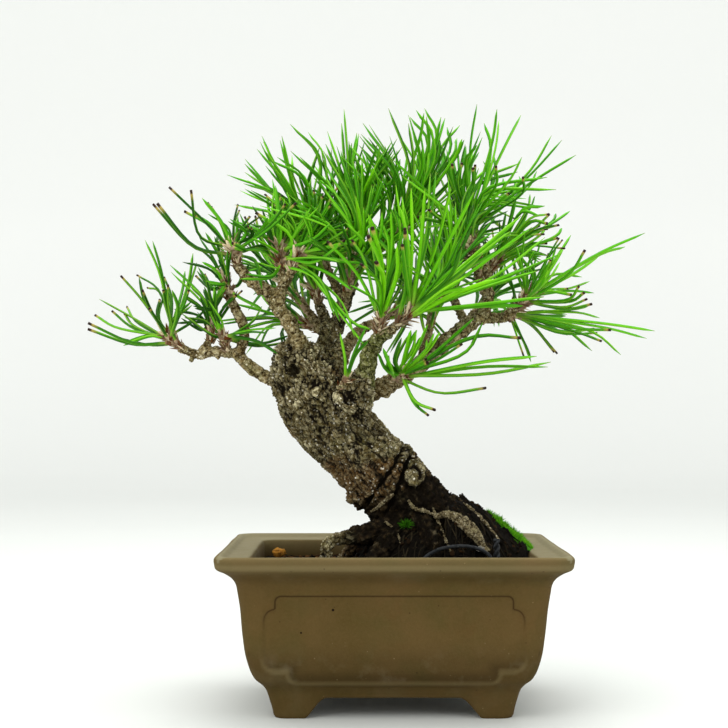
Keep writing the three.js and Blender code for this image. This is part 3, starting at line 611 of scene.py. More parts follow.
def bark(bm, place, cell, depth, rough, seed, feature=None):
    """Raises ragged plates, each broken into scales, with dark crevices on a skin of wood."""
    height, tone, soiled, ruddy = new_layers(bm, "height", "tone", "soiled", "ruddy")
    bm.normal_update()
    for vert, normal in [(vert, vert.normal.copy()) for vert in bm.verts]:
        spot = (place(vert.co) + Vector((seed, 0, 0))) / cell
        spot += sway(spot * 0.7) * 0.5 + sway(spot * 2.3) * 0.22 + sway(spot * 6.1) * 0.1
        plate_clear, plate = flakes(spot)
        scale_clear, scale = flakes(spot * SCALES_PER_PLATE)
        bumps = noise.fractal(spot * 3.7, 0.8, 2.2, 4)
        strip = Vector([spot[i] * FISSURE_STRETCH[i] for i in range(3)])
        split = abs(noise.noise(strip) + 0.25 * noise.noise(spot * 1.7))
        fissure = smoothstep(0.0, FISSURE_WIDTH, split)
        clear = lerp(0.2, 1.0, plate_clear) * lerp(0.65, 1.0, scale_clear) * lerp(0.2, 1.0, fissure)
        level = clear * (0.56 + 0.34 * plate + 0.22 * scale) + rough * bumps
        extra = 0.0
        if feature:
            extra, level, vert[soiled], vert[ruddy] = feature(vert.co, level)
        vert.co += normal * ((level - 0.5) * depth + extra)
        vert[height] = level
        vert[tone] = 0.1 + 0.35 * plate + 0.3 * scale + 0.5 * bumps


# ------------------------------------------------------------------ pot

POT_WIDTH, POT_DEPTH = 130, 104
SHORTER = (POT_WIDTH - POT_DEPTH) / 2  # how much less half the depth is than half the width
CORNER_RADIUS = 7
CORNER_COLUMNS = 11
SIDE_COLUMNS = (126, 150)  # along the sides that face X, then those that face Y
FLOOR_TOP, FLOOR_UNDERSIDE = 14, 9
LIP_TOP = 59.3
DRAIN_OFFSET, DRAIN_RADIUS = 22, 7
PANEL_RECESS = 0.75
PANEL_BOTTOM, PANEL_TOP = 14.4, 46.5
PANEL_STEP, PANEL_ROUND = 4.8, 4.2
PANEL_NOTCHES = (9.2, 4.1)  # how far the corners step in, at the bottom and at the top
NOTCH_ROUNDS = (3.0, 2.2)
PANEL_HALF_WIDTHS = (34.2, 47.2)  # of the panels that face X, then those that face Y
APRON_HALF_WIDTHS = (20.3, 33.3)
APRON_GAP, APRON_CURVE, FOOT_LINE = 7.6, 9, 13
WALL_LUMP, WALL_LUMP_APART = 0.3, 17
WALL_TOP, WALL_IN = 50, 46  # the panels' wall: below this height and outside this half width
LEDGE_LINE = 0.7  # how far outside a panel's outline the painted highlight on its lower ledge lies
UNDER_RIM = (49.5, 53, 54.5, 57)  # the heights where its shade begins, is full, fades, ends
BEAD_TOP, BEAD_MIDDLE = (60.2, 60.9), 57.2
ASHEN_FROM, ASHEN_WITHIN = (58.8, 59.3), 63.5
PROFILE_STEPS = (0.72, 3.0, 1.5)  # along the outer wall, the inner wall and the foot's inside

OUTER_WALL = [
    (44.1, 0), (44.6, 1), (45.1, 3.5), (45.8, 6.3), (47, 10.3), (48.6, 12.6), (50.8, 14.7),
    (52.5, 17.8), (53.7, 21.6), (54.5, 25.2), (55, 29.1), (55.6, 34.6), (56.1, 40.1),
    (56.7, 44.6), (57.1, 47.3), (57.5, 49.7), (58.2, 51.4), (59.5, 53), (61.6, 54.6),
    (63.5, 55.6), (64.5, 56.6), (64.8, 57.9), (65, 59.4), (64.8, 60.3), (64.2, 60.9),
    (63.3, 61), (62.5, 60.8), (61.6, 60.2), (60.5, 59.6), (57.5, 59.4), (54.6, 59.4),
    (53.5, 59.2), (52.9, 58.6), (52.4, 57.4),
]
INNER_WALL = [(52.1, 53), (50.4, 40), (48.6, 26), (46.9, 21), (45, 17.5), (43.6, 15.4), (42, 14)]
FOOT_INSIDE = [(40.5, 9), (39.4, 8.9), (38.4, 7.5), (37.8, 3), (37.6, 0.6), (38.1, 0)]


def ring_columns():
    """For each column round the pot: which corner it follows and how far, or which side."""
    columns = []
    for corner in range(4):
        count = SIDE_COLUMNS[1] if corner % 2 == 0 else SIDE_COLUMNS[0]
        columns += [("corner", corner, i / (CORNER_COLUMNS - 1)) for i in range(CORNER_COLUMNS)]
        columns += [("side", corner, i / count) for i in range(1, count)]
    return columns


def on_corner(corner, share, half_width):
    half_depth = half_width - SHORTER
    radius = CORNER_RADIUS * 2 * half_width / POT_WIDTH
    turn = (corner + share) * math.pi / 2
    sign_x = 1 if corner in (0, 3) else -1
    sign_y = 1 if corner < 2 else -1
    return Vector((sign_x * (half_width - radius) + radius * math.cos(turn),
                   sign_y * (half_depth - radius) + radius * math.sin(turn), 0))


def on_ring(column, half_width):
    kind, corner, share = column
    if kind == "corner":
        return on_corner(corner, share, half_width)
    start = on_corner(corner, 1, half_width)
    return start.lerp(on_corner((corner + 1) % 4, 0, half_width), share)


def box_distance(x, z, half_x, half_z, radius):
    beyond_x = abs(x) - half_x + radius
    beyond_z = abs(z) - half_z + radius
    outside = math.hypot(max(beyond_x, 0), max(beyond_z, 0))
    return outside + min(max(beyond_x, beyond_z), 0) - radius


def panel_distance(x, z, half_width):
    """How far a spot is outside a panel's outline: a tall box joined to a wide rounded one."""
    middle = (PANEL_TOP + PANEL_BOTTOM) / 2
    half_height = (PANEL_TOP - PANEL_BOTTOM) / 2
    upper = smoothstep(20, 36, z)
    notch = lerp(*PANEL_NOTCHES, upper)
    tall = box_distance(x, z - middle, half_width - notch, half_height,
                        lerp(*NOTCH_ROUNDS, upper))
    wide = box_distance(x, z - middle, half_width, half_height - PANEL_STEP, PANEL_ROUND)
    return min(tall, wide)


def apron_height(x, half_width):
    """The height of the cut-out between two feet, at a place along it, or 0 in the feet."""
    inside = max(half_width - abs(x), 0) / APRON_CURVE
    return APRON_GAP * (1 - (1 - smoothstep(0.0, 1.05, inside)) ** 1.4)


def fine_profile(profile, spacing):
    """Points at even steps along a smooth curve through the profile."""
    route = [Vector((half_width, 0, height)) for half_width, height in profile]
    steps = round(length_of(route) / spacing)
    spots = [along_curve(route, i / steps) for i in range(steps + 1)]
    return [(spot.x, spot.z) for spot in spots]


def side_of(spot, half_width):
    """Which side of the pot a spot is on, 0 for X and 1 for Y, and its place along it."""
    half_depth = half_width - SHORTER
    if half_width - abs(spot.x) < half_depth - abs(spot.y):
        return 0, spot.y
    return 1, spot.x


def pot():
    bm = bmesh.new()
    shade, wear_and_highlight, from_panel, panel_top_shadow, ashen = new_layers(
        bm, "shade", "wear_and_highlight", "gap", "panel_top_shadow", "ashen")
    columns = ring_columns()
    outside, inside, under = [fine_profile(profile, spacing) for profile, spacing in
                              zip((OUTER_WALL, INNER_WALL, FOOT_INSIDE), PROFILE_STEPS)]
    profile = under + outside + inside
    on_wall = range(len(under), len(under) + len(outside))

    def place(column, row):
        half_width, height = profile[row]
        spot = on_ring(columns[column], half_width)
        side, along = side_of(spot, half_width)
        outward = Vector((0, 0, 0))
        outward[side] = math.copysign(1, spot[side])
        if row in on_wall and 10 < height < WALL_TOP:
            gap = panel_distance(along, height, PANEL_HALF_WIDTHS[side])
            softness = lerp(1.1, 0.3, smoothstep(30, 42, height))
            spot -= outward * smoothstep(softness, -softness, gap) * PANEL_RECESS
        if height < FOOT_LINE and row < on_wall[-1]:
            lift = apron_height(along, APRON_HALF_WIDTHS[side])
            height = lift + height * (FOOT_LINE - lift) / FOOT_LINE
        lump = noise.noise(Vector((spot.x, spot.y, height)) / WALL_LUMP_APART) * WALL_LUMP
        return Vector((spot.x, spot.y, height)) + outward * lump * (row in on_wall)

    first, last = loft(bm, len(columns), len(profile), place)
    floors = []
    for edges, height in ((first, FLOOR_UNDERSIDE), (last, FLOOR_TOP)):
        holes = []
        for x in (-DRAIN_OFFSET, DRAIN_OFFSET):
            circle = bmesh.ops.create_circle(
                bm, segments=40, radius=DRAIN_RADIUS, matrix=Matrix.Translation((x, 0, height)))
            holes.append(edges_of(circle["verts"]))
        bmesh.ops.triangle_fill(bm, use_beauty=True, edges=edges + holes[0] + holes[1])
        floors.append(holes)
    for lower, upper in zip(*floors):
        bmesh.ops.bridge_loops(bm, edges=lower + upper)
    bmesh.ops.recalc_face_normals(bm, faces=bm.faces)
    for vert in bm.verts:
        x, y, height = vert.co
        half_width = max(abs(x), abs(y) + SHORTER)
        side, along = side_of(vert.co, half_width)
        gap = panel_distance(along, height, PANEL_HALF_WIDTHS[side])
        outside_wall = half_width > WALL_IN and height < WALL_TOP
        vert[from_panel] = min(max(gap, -4), 4)
        # Where the painted shadow line along a panel's outline shows: its upper part.
        vert[panel_top_shadow] = smoothstep(33, 42, height) * outside_wall
        low = smoothstep(26, 19, height) * outside_wall
        # A painted highlight along the panels' lower ledges, just outside their outlines.
        ledge = 0.3 * (1 - smoothstep(0.2, 1.3, abs(gap - LEDGE_LINE))) * low
        sunk = smoothstep(-6, -0.4, gap) * (1 - smoothstep(-0.4, 0.4, gap)) * low
        under_rim = smoothstep(*UNDER_RIM[:2], height) * (1 - smoothstep(*UNDER_RIM[2:], height))
        within = half_width < 53 and 24 < height < 59
        low_down = smoothstep(32, 20, height) * (1 - 0.5 * smoothstep(14, 8, height))
        vert[shade] = min(1.0, 0.25 * under_rim + 0.35 * within + 0.3 * low_down + 0.35 * sunk)
        # Painted highlights on the rim's top outer edge and round the bulge of its front, partly on
        # rubbed clay.
        bead = smoothstep(*BEAD_TOP, height)
        bead += 1 - smoothstep(0.5, 1.6, abs(height - BEAD_MIDDLE))
        # The clay is lighter from the rim's underside up.
        rim = 0.3 * smoothstep(53, 57, height)
        vert[wear_and_highlight] = min(1.0, ledge + rim + 0.3 * bead * (half_width > 60))
        vert[ashen] = smoothstep(*ASHEN_FROM, height) * (half_width < ASHEN_WITHIN)
    piece("clay_pot", bm, CLAY, ["pot"], 50)


# ------------------------------------------------------------------ soil

SOIL_TOP = 53
GRIT_TOP = 22.6
SOIL_HALF_WIDTH, SOIL_HALF_DEPTH = 51.7, 38.7
SOIL_CORNER = 5.5
SOIL_GRID = (172, 130)
# Below the top: each row's height, how far in it lies, and how far in the row above lies.
SOIL_ROWS = ((44, 0.97, 1), (GRIT_TOP, 0.89, 0.97))
CRUMBS, FRONT_CRUMBS, FRONT_STRIP = 2600, 0.45, 9  # how many, the share in a strip in front
CRUMB_SIZE, CRUMB_EXTRA = 0.35, 0.75
FINE_ROOTS, FINE_ROOT_STEP = 150, 3.1
MOUND_CENTRE = Vector((20, 0, 50))
MOUND_RADII = Vector((36, 31, 22))


# The ridge on the heap's right: its height at a place, its fall to the right, how round it is.
RIDGE_TOP, RIDGE_PLACE, RIDGE_FALL, RIDGE_ROUND = 84, (24, -2), 0.79, 0.03
RIDGE_FROM, RIDGE_CAP = 20, 78
# How closely the soil's lumps and its crumbs lie, and how high they are on the bed and the heap.
LUMP_SCALE, LUMP_HEIGHTS = 0.16, (0.5, 2.0)
CRUMB_SCALE, CRUMB_HEIGHTS = 0.9, (0.25, 0.5)
SETTLED = 0.4


def mound_height(x, y):
    """The height of the bed, or of the heap and its ridge where they are higher."""
    flat = ((x - MOUND_CENTRE.x) / MOUND_RADII.x) ** 2 + ((y - MOUND_CENTRE.y) / MOUND_RADII.y) ** 2
    heap = MOUND_CENTRE.z + MOUND_RADII.z * math.sqrt(max(1 - flat, 0))
    right, behind = x - RIDGE_PLACE[0], y - RIDGE_PLACE[1]
    ridge = RIDGE_TOP - RIDGE_FALL * right - RIDGE_ROUND * behind ** 2
    return max(SOIL_TOP, heap, min(ridge, RIDGE_CAP) if x > RIDGE_FROM else SOIL_TOP)


def ground(x, y):
    """The soil's top at a place: the flat bed and the crumbly heap under the tree."""
    height = mound_height(x, y)
    heaped = smoothstep(SOIL_TOP, SOIL_TOP + 6, height)
    spot = Vector((x, y, height))
    coarse = noise.fractal(spot * LUMP_SCALE, 0.9, 2.1, 4) * lerp(*LUMP_HEIGHTS, heaped)
    fine = noise.noise(spot * CRUMB_SCALE) * lerp(*CRUMB_HEIGHTS, heaped)
    return height + coarse + fine - SETTLED


def soil():
    bm = bmesh.new()
    columns, rows = SOIL_GRID
    grid = bmesh.ops.create_grid(bm, x_segments=columns, y_segments=rows, size=1)["verts"]
    for vert in grid:
        x = vert.co.x * SOIL_HALF_WIDTH
        y = vert.co.y * SOIL_HALF_DEPTH
        beyond = Vector((max(abs(x) - SOIL_HALF_WIDTH + SOIL_CORNER, 0),
                         max(abs(y) - SOIL_HALF_DEPTH + SOIL_CORNER, 0)))
        if beyond.x and beyond.y and beyond.length > SOIL_CORNER:
            beyond = beyond.normalized() * SOIL_CORNER
            x = math.copysign(SOIL_HALF_WIDTH - SOIL_CORNER + beyond.x, x)
            y = math.copysign(SOIL_HALF_DEPTH - SOIL_CORNER + beyond.y, y)
        vert.co = Vector((x, y, ground(x, y)))
    edges = [edge for edge in bm.edges if edge.is_boundary]
    for height, inset, before in SOIL_ROWS:
        ring, edges = next_ring(bm, edges)
        for vert in ring:
            vert.co = Vector((vert.co.x * inset / before, vert.co.y * inset / before, height))
    bmesh.ops.edgeloop_fill(bm, edges=edges)
    bmesh.ops.recalc_face_normals(bm, faces=bm.faces)
    piece("soil_bed", bm, SOIL, ["soil"])


def crumbs():
    """Loose crumbs and bits of bark on the soil."""
    roll = random.Random(5)
    shape = bmesh.new()
    new_layers(shape, "tone")
    bmesh.ops.create_icosphere(shape, subdivisions=1, radius=1)
    crumb = mesh_of(shape, "crumb")
    bm = bmesh.new()
    for _ in range(CRUMBS):
        x = roll.uniform(-SOIL_HALF_WIDTH + 2, SOIL_HALF_WIDTH - 2)
        y = roll.uniform(-SOIL_HALF_DEPTH + 1.5, SOIL_HALF_DEPTH - 1.5)
        if roll.random() < FRONT_CRUMBS:
            y = -SOIL_HALF_DEPTH + 1.2 + roll.random() ** 2 * FRONT_STRIP
        size = CRUMB_SIZE + CRUMB_EXTRA * roll.random() ** 3
        turn = Matrix.Rotation(roll.uniform(0, 6.3), 3, "X") @ Matrix.Rotation(
            roll.uniform(0, 6.3), 3, "Z")
        stretch = Matrix.Diagonal((size * roll.uniform(0.8, 1.7), size, size * 0.75))
        centre = Vector((x, y, ground(x, y) + size * 0.35))
        verts = added(bm, crumb)
        tone = bm.verts.layers.float["tone"]
        darker = smoothstep(-28, 0, x)
        shade = roll.random() ** lerp(1.0, 3.6, darker)
        shade *= lerp(1.0, 0.55, darker)
        for vert in verts:
            vert.co = centre + turn @ (stretch @ (vert.co * (1 + 0.25 * roll.random())))
            vert[tone] = shade
    bpy.data.meshes.remove(crumb)
    piece("soil_crumbs", bm, GRAINS, sharp_angle=30)


def fibres():
    """Thin dark roots that wander down the heap."""
    roll = random.Random(8)
    bm = bmesh.new()
    tone, = new_layers(bm, "tone")
    for _ in range(FINE_ROOTS):
        turn = roll.uniform(0, 2 * math.pi)
        reach = roll.uniform(0.45, 0.8)
        x = MOUND_CENTRE.x + math.cos(turn) * MOUND_RADII.x * reach
        y = MOUND_CENTRE.y + math.sin(turn) * MOUND_RADII.y * reach
        route = []
        for _ in range(roll.randint(4, 8)):
            if abs(x) > SOIL_HALF_WIDTH - 1 or abs(y) > SOIL_HALF_DEPTH - 1:
                break
            route.append((x, y, ground(x, y) + roll.uniform(-0.2, 0.5)))
            turn += roll.uniform(-0.55, 0.55)
            x += math.cos(turn) * FINE_ROOT_STEP
            y += math.sin(turn) * FINE_ROOT_STEP
        if len(route) < 3:
            continue
        count = len(bm.verts)
        thick = roll.uniform(0.22, 0.5)
        tube(bm, route, [thick, thick * 0.8, thick * 0.4], sides=6, spacing=1.1)
        bm.verts.ensure_lookup_table()
        shade = 0.55 * roll.random() ** 2
        for vert in bm.verts[count:]:
            vert[tone] = shade
    piece("fine_roots", bm, FIBRES)


# The pale roots that cross the dark heap, by the pixels they pass, with their radii.
PALE_ROOTS = [
    ([(433, 508), (436, 516), (440, 526), (444, 535), (448, 545), (451, 553)], 0.65),
    ([(436, 517), (446, 514), (453, 517), (461, 524), (470, 532), (479, 541), (488, 552)], 1.7),
    ([(452, 513), (461, 517), (470, 524), (478, 533), (483, 541)], 1.2),
    ([(394, 494), (386, 500), (378, 507), (371, 512)], 0.8),
    ([(408, 500), (414, 508), (425, 511), (436, 516)], 0.8),
    ([(384, 521), (392, 527), (398, 536), (401, 547)], 0.6),
    ([(463, 503), (473, 511), (482, 520), (492, 531), (500, 543)], 0.9),
]
SURFACE_STEP = 0.4


def first_touch(pixel):
    """Where the line of sight through a pixel first meets the heap or the trunk's foot.

    Gives None where it meets neither before the middle of the pot.
    """
    depth = -SOIL_HALF_DEPTH
    while depth < 0:
        spot = from_photo(pixel, depth)
        if spot.z <= ground(spot.x, spot.y) or inside_foot(spot):
            return spot
        depth += SURFACE_STEP
    return None


def inside_foot(spot):
    """Whether a spot is within the trunk or a big root, taken as smooth tubes."""
    for route, radii in [(TRUNK_ROUTE, TRUNK_RADII)] + ROOTS:
        points = [Vector(point) for point in route]
        for i in range(len(points) - 1):
            span = points[i + 1] - points[i]
            share = min(max((spot - points[i]).dot(span) / span.length_squared, 0), 1)
            if (spot - points[i] - span * share).length < lerp(radii[i], radii[i + 1], share):
                return True
    return False


def pale_roots():
    """The pale roots that show on the front of the heap."""
    bm = bmesh.new()
    routes = []
    for pixels, radius in PALE_ROOTS:
        spots = [spot for spot in map(first_touch, pixels) if spot]
        route = [spot + Vector((0, -radius * 0.3, 0)) for spot in spots]
        radii = [radius * share for share in (0.7, 1, 0.9, 0.6)]
        tube(bm, route, radii, spacing=0.6, swell=0.5)
        routes.append(route)
    bm = one_skin(bm, ROOT_VOXEL)
    bark(bm, grain_guide(routes, 1.2), 1.7, 0.4, 0.4, 2)
    piece("pale_surface_roots", bm, PALE_BARK)


MOSS_CENTRE, MOSS_RADII = (45.6, 3.5), (10.6, 12.5)
MOSS_THICKNESS, MOSS_SUNK = 1.7, 1.2
MOSS_BLADES = 8000
MOSS_GRID = 44
LIP_INNER_EDGE = 51.5


def mossy(x, y):
    """How thick the moss cushion is at a place, from 1 in its middle to 0 at its edge."""
    away = math.hypot((x - MOSS_CENTRE[0]) / MOSS_RADII[0], (y - MOSS_CENTRE[1]) / MOSS_RADII[1])
    away += 0.22 * noise.noise(Vector((x, y, 3)) * 0.25)
    return smoothstep(1.0, 0.55, away)


def moss_top(x, y):
    """The height of the moss cushion's body, which lies on the soil and on the pot's lip."""
    lip = LIP_TOP + 0.3 if x > LIP_INNER_EDGE else 0
    lumps = 0.7 + 0.6 * noise.noise(Vector((x, y, 0)) * 0.5)
    rise = (MOSS_THICKNESS + MOSS_SUNK) * mossy(x, y) * lumps
    return max(ground(x, y), lip) - MOSS_SUNK + rise


def moss_cushion():
    """A cushion of moss: a lumpy body under many small upright shoots."""
    roll = random.Random(3)
    bm = bmesh.new()
    tone, = new_layers(bm, "tone")
    grid = bmesh.ops.create_grid(bm, x_segments=MOSS_GRID, y_segments=MOSS_GRID, size=1)["verts"]
    for vert in grid:
        x = MOSS_CENTRE[0] + vert.co.x * MOSS_RADII[0]
        y = MOSS_CENTRE[1] + vert.co.y * MOSS_RADII[1]
        vert.co = Vector((x, y, moss_top(x, y)))
        vert[tone] = 0.25
    shape = bmesh.new()
    new_layers(shape, "tone")
    bmesh.ops.create_cone(shape, cap_ends=False, segments=3, radius1=1, radius2=0, depth=1)
    shoot = mesh_of(shape, "shoot")
    for _ in range(MOSS_BLADES):
        x = MOSS_CENTRE[0] + roll.uniform(-1, 1) * MOSS_RADII[0]
        y = MOSS_CENTRE[1] + roll.uniform(-1, 1) * MOSS_RADII[1]
        if mossy(x, y) < roll.uniform(0.1, 0.75):
            continue
        foot = Vector((x, y, moss_top(x, y) - 0.3))
        slope = Vector((moss_top(x - 0.4, y) - moss_top(x + 0.4, y),
                        moss_top(x, y - 0.4) - moss_top(x, y + 0.4), 0.8))
        lean = slope.normalized() + Vector((roll.uniform(-1, 1), roll.uniform(-1, 1), 0.6)) * 0.5
        turn = lean.to_track_quat("Z", "Y").to_matrix()
        size = roll.uniform(1.1, 2.3)
        verts = added(bm, shoot)
        tip_tone = roll.uniform(0.5, 1.0)
        for vert in verts:
            rise = vert.co.z + 0.5
            wide = Vector((vert.co.x * 0.2, vert.co.y * 0.2, rise * size))
            vert.co = foot + turn @ wide
            vert[tone] = lerp(0.2, tip_tone, rise)
    bpy.data.meshes.remove(shoot)
    piece("moss_cushion_tufts", bm, MOSS, ["moss_cushion"])


SMALL_TUFT_BLADES = 130


def small_moss_tuft():
    """A small ball of moss shoots in the crotch of the roots."""
    roll = random.Random(4)
    low, high = [(Vector(corner) - POT_MIDDLE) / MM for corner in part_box("moss_tuft")]
    middle, half = (low + high) / 2, (high - low) / 2
    bm = bmesh.new()
    tone, _ = new_layers(bm, "tone", "along")
    bmesh.ops.create_icosphere(bm, subdivisions=3, radius=1)
    for vert in bm.verts:
        lump = 0.34 + 0.12 * noise.noise(vert.co * 2)
        vert.co = middle + Vector([vert.co[i] * half[i] * lump for i in range(3)])
        vert[tone] = 0.1
    for _ in range(SMALL_TUFT_BLADES):
        way = Vector((roll.gauss(0, 1), roll.gauss(-0.5, 1), roll.gauss(0.4, 1))).normalized()
        foot = middle + Vector([way[i] * half[i] * 0.26 for i in range(3)])
        size = roll.uniform(0.3, 0.9)
        tip = foot + Vector([way[i] * half[i] * size for i in range(3)])
        tip += Vector((0, 0, half.z * 0.12))
        put_rod(bm, SHORT_ROD, [foot, foot.lerp(tip, 0.5), tip],
                lambda share: 0.17 * (1 - 0.8 * share), 1.0, sideways(way)[0],
                {"tone": roll.uniform(0.0, 0.3)})
    piece("moss_small_tuft", bm, MOSS, ["moss_tuft"])


def stone(name, node_name, centre, radii, material, seed):
    bm = bmesh.new()
    bmesh.ops.create_icosphere(bm, subdivisions=4, radius=1)
    for vert in bm.verts:
        lump = 1 + 0.28 * noise.noise(vert.co * 1.1 + Vector((seed, 0, 0)))
        flat = 0.1 * noise.cell(vert.co * 1.7 + Vector((seed, 0, 0)))
        shaped = vert.co * (lump + flat)
        vert.co = Vector([centre[i] + shaped[i] * radii[i] for i in range(3)])
    piece(name, bm, material, [node_name])


# ------------------------------------------------------------------ wood

TRUNK_ROUTE = [
    (18, 1, 49), (14, 0, 62), (8.1, -0.5, 72.1), (2.2, -1, 81.5), (-6, -0.5, 90.5),
    (-13.8, 0, 98.5), (-20, 0.5, 105), (-25.5, 0.5, 113), (-30, 0, 121.5), (-33, -0.5, 130),
    (-34.5, -0.5, 136.5), (-34, 0, 140),
]
TRUNK_RADII = [25, 20.5, 15.4, 15.2, 14.7, 13.3, 14.1, 15.4, 15.6, 14.6, 12, 6]
ROOTS = [
    ([(4, -8, 69), (-8, -12, 66), (-17, -14, 65.2), (-23, -14, 63.5), (-26, -14, 58),
      (-27.5, -14, 50)], [6, 4.6, 3, 2.2, 1.8, 1.6]),
    ([(4, -9, 67), (-3, -18, 62), (-9, -24, 55), (-12, -26, 49)], [5.5, 4, 2.8, 2]),
    ([(12, -10, 70), (15, -21, 64), (17, -28, 56), (18, -31, 49)], [6, 4, 2.8, 2]),
    ([(20, -10, 75), (27, -20, 69), (34, -26, 62), (41, -30, 53)], [5, 3.4, 2.6, 1.8]),
    ([(24, 0, 74), (36, -3, 68), (44, -6, 60), (48, -8, 51)], [7, 5, 3.4, 2.4]),
    ([(22, 8, 70), (32, 18, 64), (38, 25, 57), (40, 28, 49)], [6, 4, 3, 2]),
    ([(10, 10, 68), (8, 20, 64), (6, 28, 57), (5, 31, 49)], [6, 4, 3, 2]),
    ([(0, 6, 68), (-10, 14, 63), (-17, 19, 56), (-20, 21, 49)], [6, 4, 2.8, 2]),
]
COLLAR = ([(-17, -7, 113), (-14, -13, 121), (-11, -15, 127)], [9, 6.5, 4])
BULGES = [
    ([(3, -5, 94), (6, -5, 94.5), (9, -5, 94)], [6, 5, 2.5]),
    ([(6, -10, 86), (8.5, -12.5, 88), (10, -14, 89.5)], [6, 5.5, 4.5]),
    ([(-40, -2, 126), (-43, -2, 128)], [5, 4]),
    ([(11, -2, 83), (13, -2, 82), (16, -2, 80)], [7, 5.5, 3]),
    ([(-7, -3, 86), (-10.5, -3, 82.5), (-13, -3, 79.5), (-15, -3, 76.5)], [8, 6.5, 5.6, 3]),
]
KNOT, KNOT_RADII = Vector((8.5, -16, 89)), (3.4, 4.1)
HOLLOW, HOLLOW_RADII = Vector((-38, -12, 128.5)), (2.3, 2.8)
SHAGGY_HEIGHTS = (106, 115)
ROOT_END_PLACES, ROOT_END_HEIGHTS = (-18, -24), (80, 72)
STAIN_HEIGHT, STAIN_FADES = 84.5, (5.5, 12)  # the fades in front and behind
RUDDY_HEIGHTS = (102, 86)
# How finely a skin is drawn, how the trunk's plates are drawn out, their size and their height.
TRUNK_VOXEL, BRANCH_VOXEL, SHOOT_VOXEL, ROOT_VOXEL = 0.48, 0.36, 0.34, 0.3
TRUNK_STRETCH, TRUNK_PLATE, TRUNK_RELIEF = 0.42, 3.4, 1.7
# The long folds on the trunk's front, by the pixels they pass, at one depth.
FOLD_DEPTH = -15
FOLDS = [[from_photo(pixel, FOLD_DEPTH) for pixel in line] for line in (
    [(407, 437), (404, 448), (397, 462), (386, 477), (374, 494), (364, 509)],
    [(411, 458), (403, 474), (397, 490), (391, 503), (383, 514)],
)]


def near_line(spot, line):
    """How far a spot is from a line of points, seen from the front."""
    best = 1e9
    for start, end in zip(line, line[1:]):
        span = end - start
        away = spot - start
        share = min(max((away.x * span.x + away.z * span.z) / (span.x ** 2 + span.z ** 2), 0), 1)
        gap = away - span * share
        best = min(best, math.hypot(gap.x, gap.z))
    return best


def ring_share(spot, centre, radii):
    """How far out a spot is seen from the front: 1 on the ellipse with these radii."""
    return math.hypot((spot.x - centre.x) / radii[0], (spot.z - centre.z) / radii[1])


def trunk_feature(spot, level):
    """The knot, the hollow and the long folds on the front, and the soiled and ruddy wood."""
    shaggy = smoothstep(*SHAGGY_HEIGHTS, spot.z) * smoothstep(4, -4, spot.y)
    extra = shaggy * noise.fractal(spot * 0.3, 0.8, 2.2, 3)
    level = lerp(level, 1.25 * level - 0.1, shaggy)
    root_end = smoothstep(*ROOT_END_PLACES, spot.x) * smoothstep(*ROOT_END_HEIGHTS, spot.z)
    level += 0.12 * root_end
    on_knot = 0.0
    if spot.y < -4:
        round_knot = ring_share(spot, KNOT, KNOT_RADII)
        round_knot += 0.22 * noise.noise(spot * 0.45)
        above = smoothstep(-2, 2.5, spot.z - KNOT.z + 0.6 * (spot.x - KNOT.x))
        level = lerp(level, 0.62, smoothstep(1.2, 0.9, round_knot) * 0.6)
        extra += 1.3 * math.exp(-((round_knot - 1) / 0.24) ** 2) * lerp(0.4, 1.0, above)
        # Two low rings round the knot's raised rim take the crevices' colour: painted shade in its
        # creases.
        level -= 0.6 * math.exp(-((round_knot - 0.68) / 0.15) ** 2) * lerp(0.5, 1.0, above)
        level -= 0.8 * math.exp(-((round_knot - 1.42) / 0.18) ** 2)
        on_knot = smoothstep(1.35, 1.15, round_knot)
        hollow = ring_share(spot, HOLLOW, HOLLOW_RADII)
        extra -= 1.8 * smoothstep(1.0, 0.5, hollow)
        extra += 0.9 * math.exp(-((hollow - 1.35) / 0.3) ** 2)
        # The hollow's inside takes the crevices' colour: painted shade.
        level = lerp(level, 0.1, smoothstep(1.05, 0.7, hollow))
        for line in FOLDS:
            fold = near_line(spot, line) + 0.9 * noise.noise(spot * 0.4) - 0.2
            extra += 0.8 * math.exp(-((fold - 1.6) / 0.8) ** 2) - 1.1 * smoothstep(0.9, 0.1, fold)
            # A dark line of the crevices' colour along each fold's groove: painted shade.
            level = lerp(level, 0.0, smoothstep(0.6, 0.15, fold) * 0.9)
    damp = spot.z + 6 * noise.noise(spot * 0.13) - 0.55 * (spot.x - 2)
    reach = lerp(*STAIN_FADES, smoothstep(-8, 4, spot.y))
    soiled = smoothstep(STAIN_HEIGHT + reach, STAIN_HEIGHT - reach, damp)
    soiled *= min(1.05 + 0.4 * noise.noise(spot * 0.5), 1.06)
    soiled *= (1 - 0.7 * smoothstep(-12, -22, spot.x)) * (1 - root_end) * (1 - 0.85 * on_knot)
    ruddy = smoothstep(0.0, 0.5, noise.noise(spot * 0.09 + Vector((3, 0, 0)))
                       + smoothstep(*RUDDY_HEIGHTS, spot.z) - 0.35)
    return extra, level, soiled, ruddy * 0.85 * (1 - on_knot) * (1 - root_end)


def trunk():
    bm = bmesh.new()
    tube(bm, TRUNK_ROUTE, TRUNK_RADII, sides=40, spacing=2, swell=0.22)
    for route, radii in ROOTS:
        tube(bm, route, radii, sides=16, spacing=1.2, swell=0.35)
    tube(bm, *COLLAR, sides=24, spacing=1.2)
    for route, radii in BULGES:
        tube(bm, route, radii, sides=16, spacing=1.2, swell=0.3)
    bm = one_skin(bm, TRUNK_VOXEL)
    bmesh.ops.smooth_vert(bm, verts=bm.verts, factor=0.5, use_axis_x=True, use_axis_y=True,
                          use_axis_z=True)
    place = grain_guide([TRUNK_ROUTE] + [route for route, _ in ROOTS], TRUNK_STRETCH)
    bark(bm, place, TRUNK_PLATE, TRUNK_RELIEF, 0.24, 4, trunk_feature)
    piece("old_trunk", bm, OLD_BARK, ["trunk"])


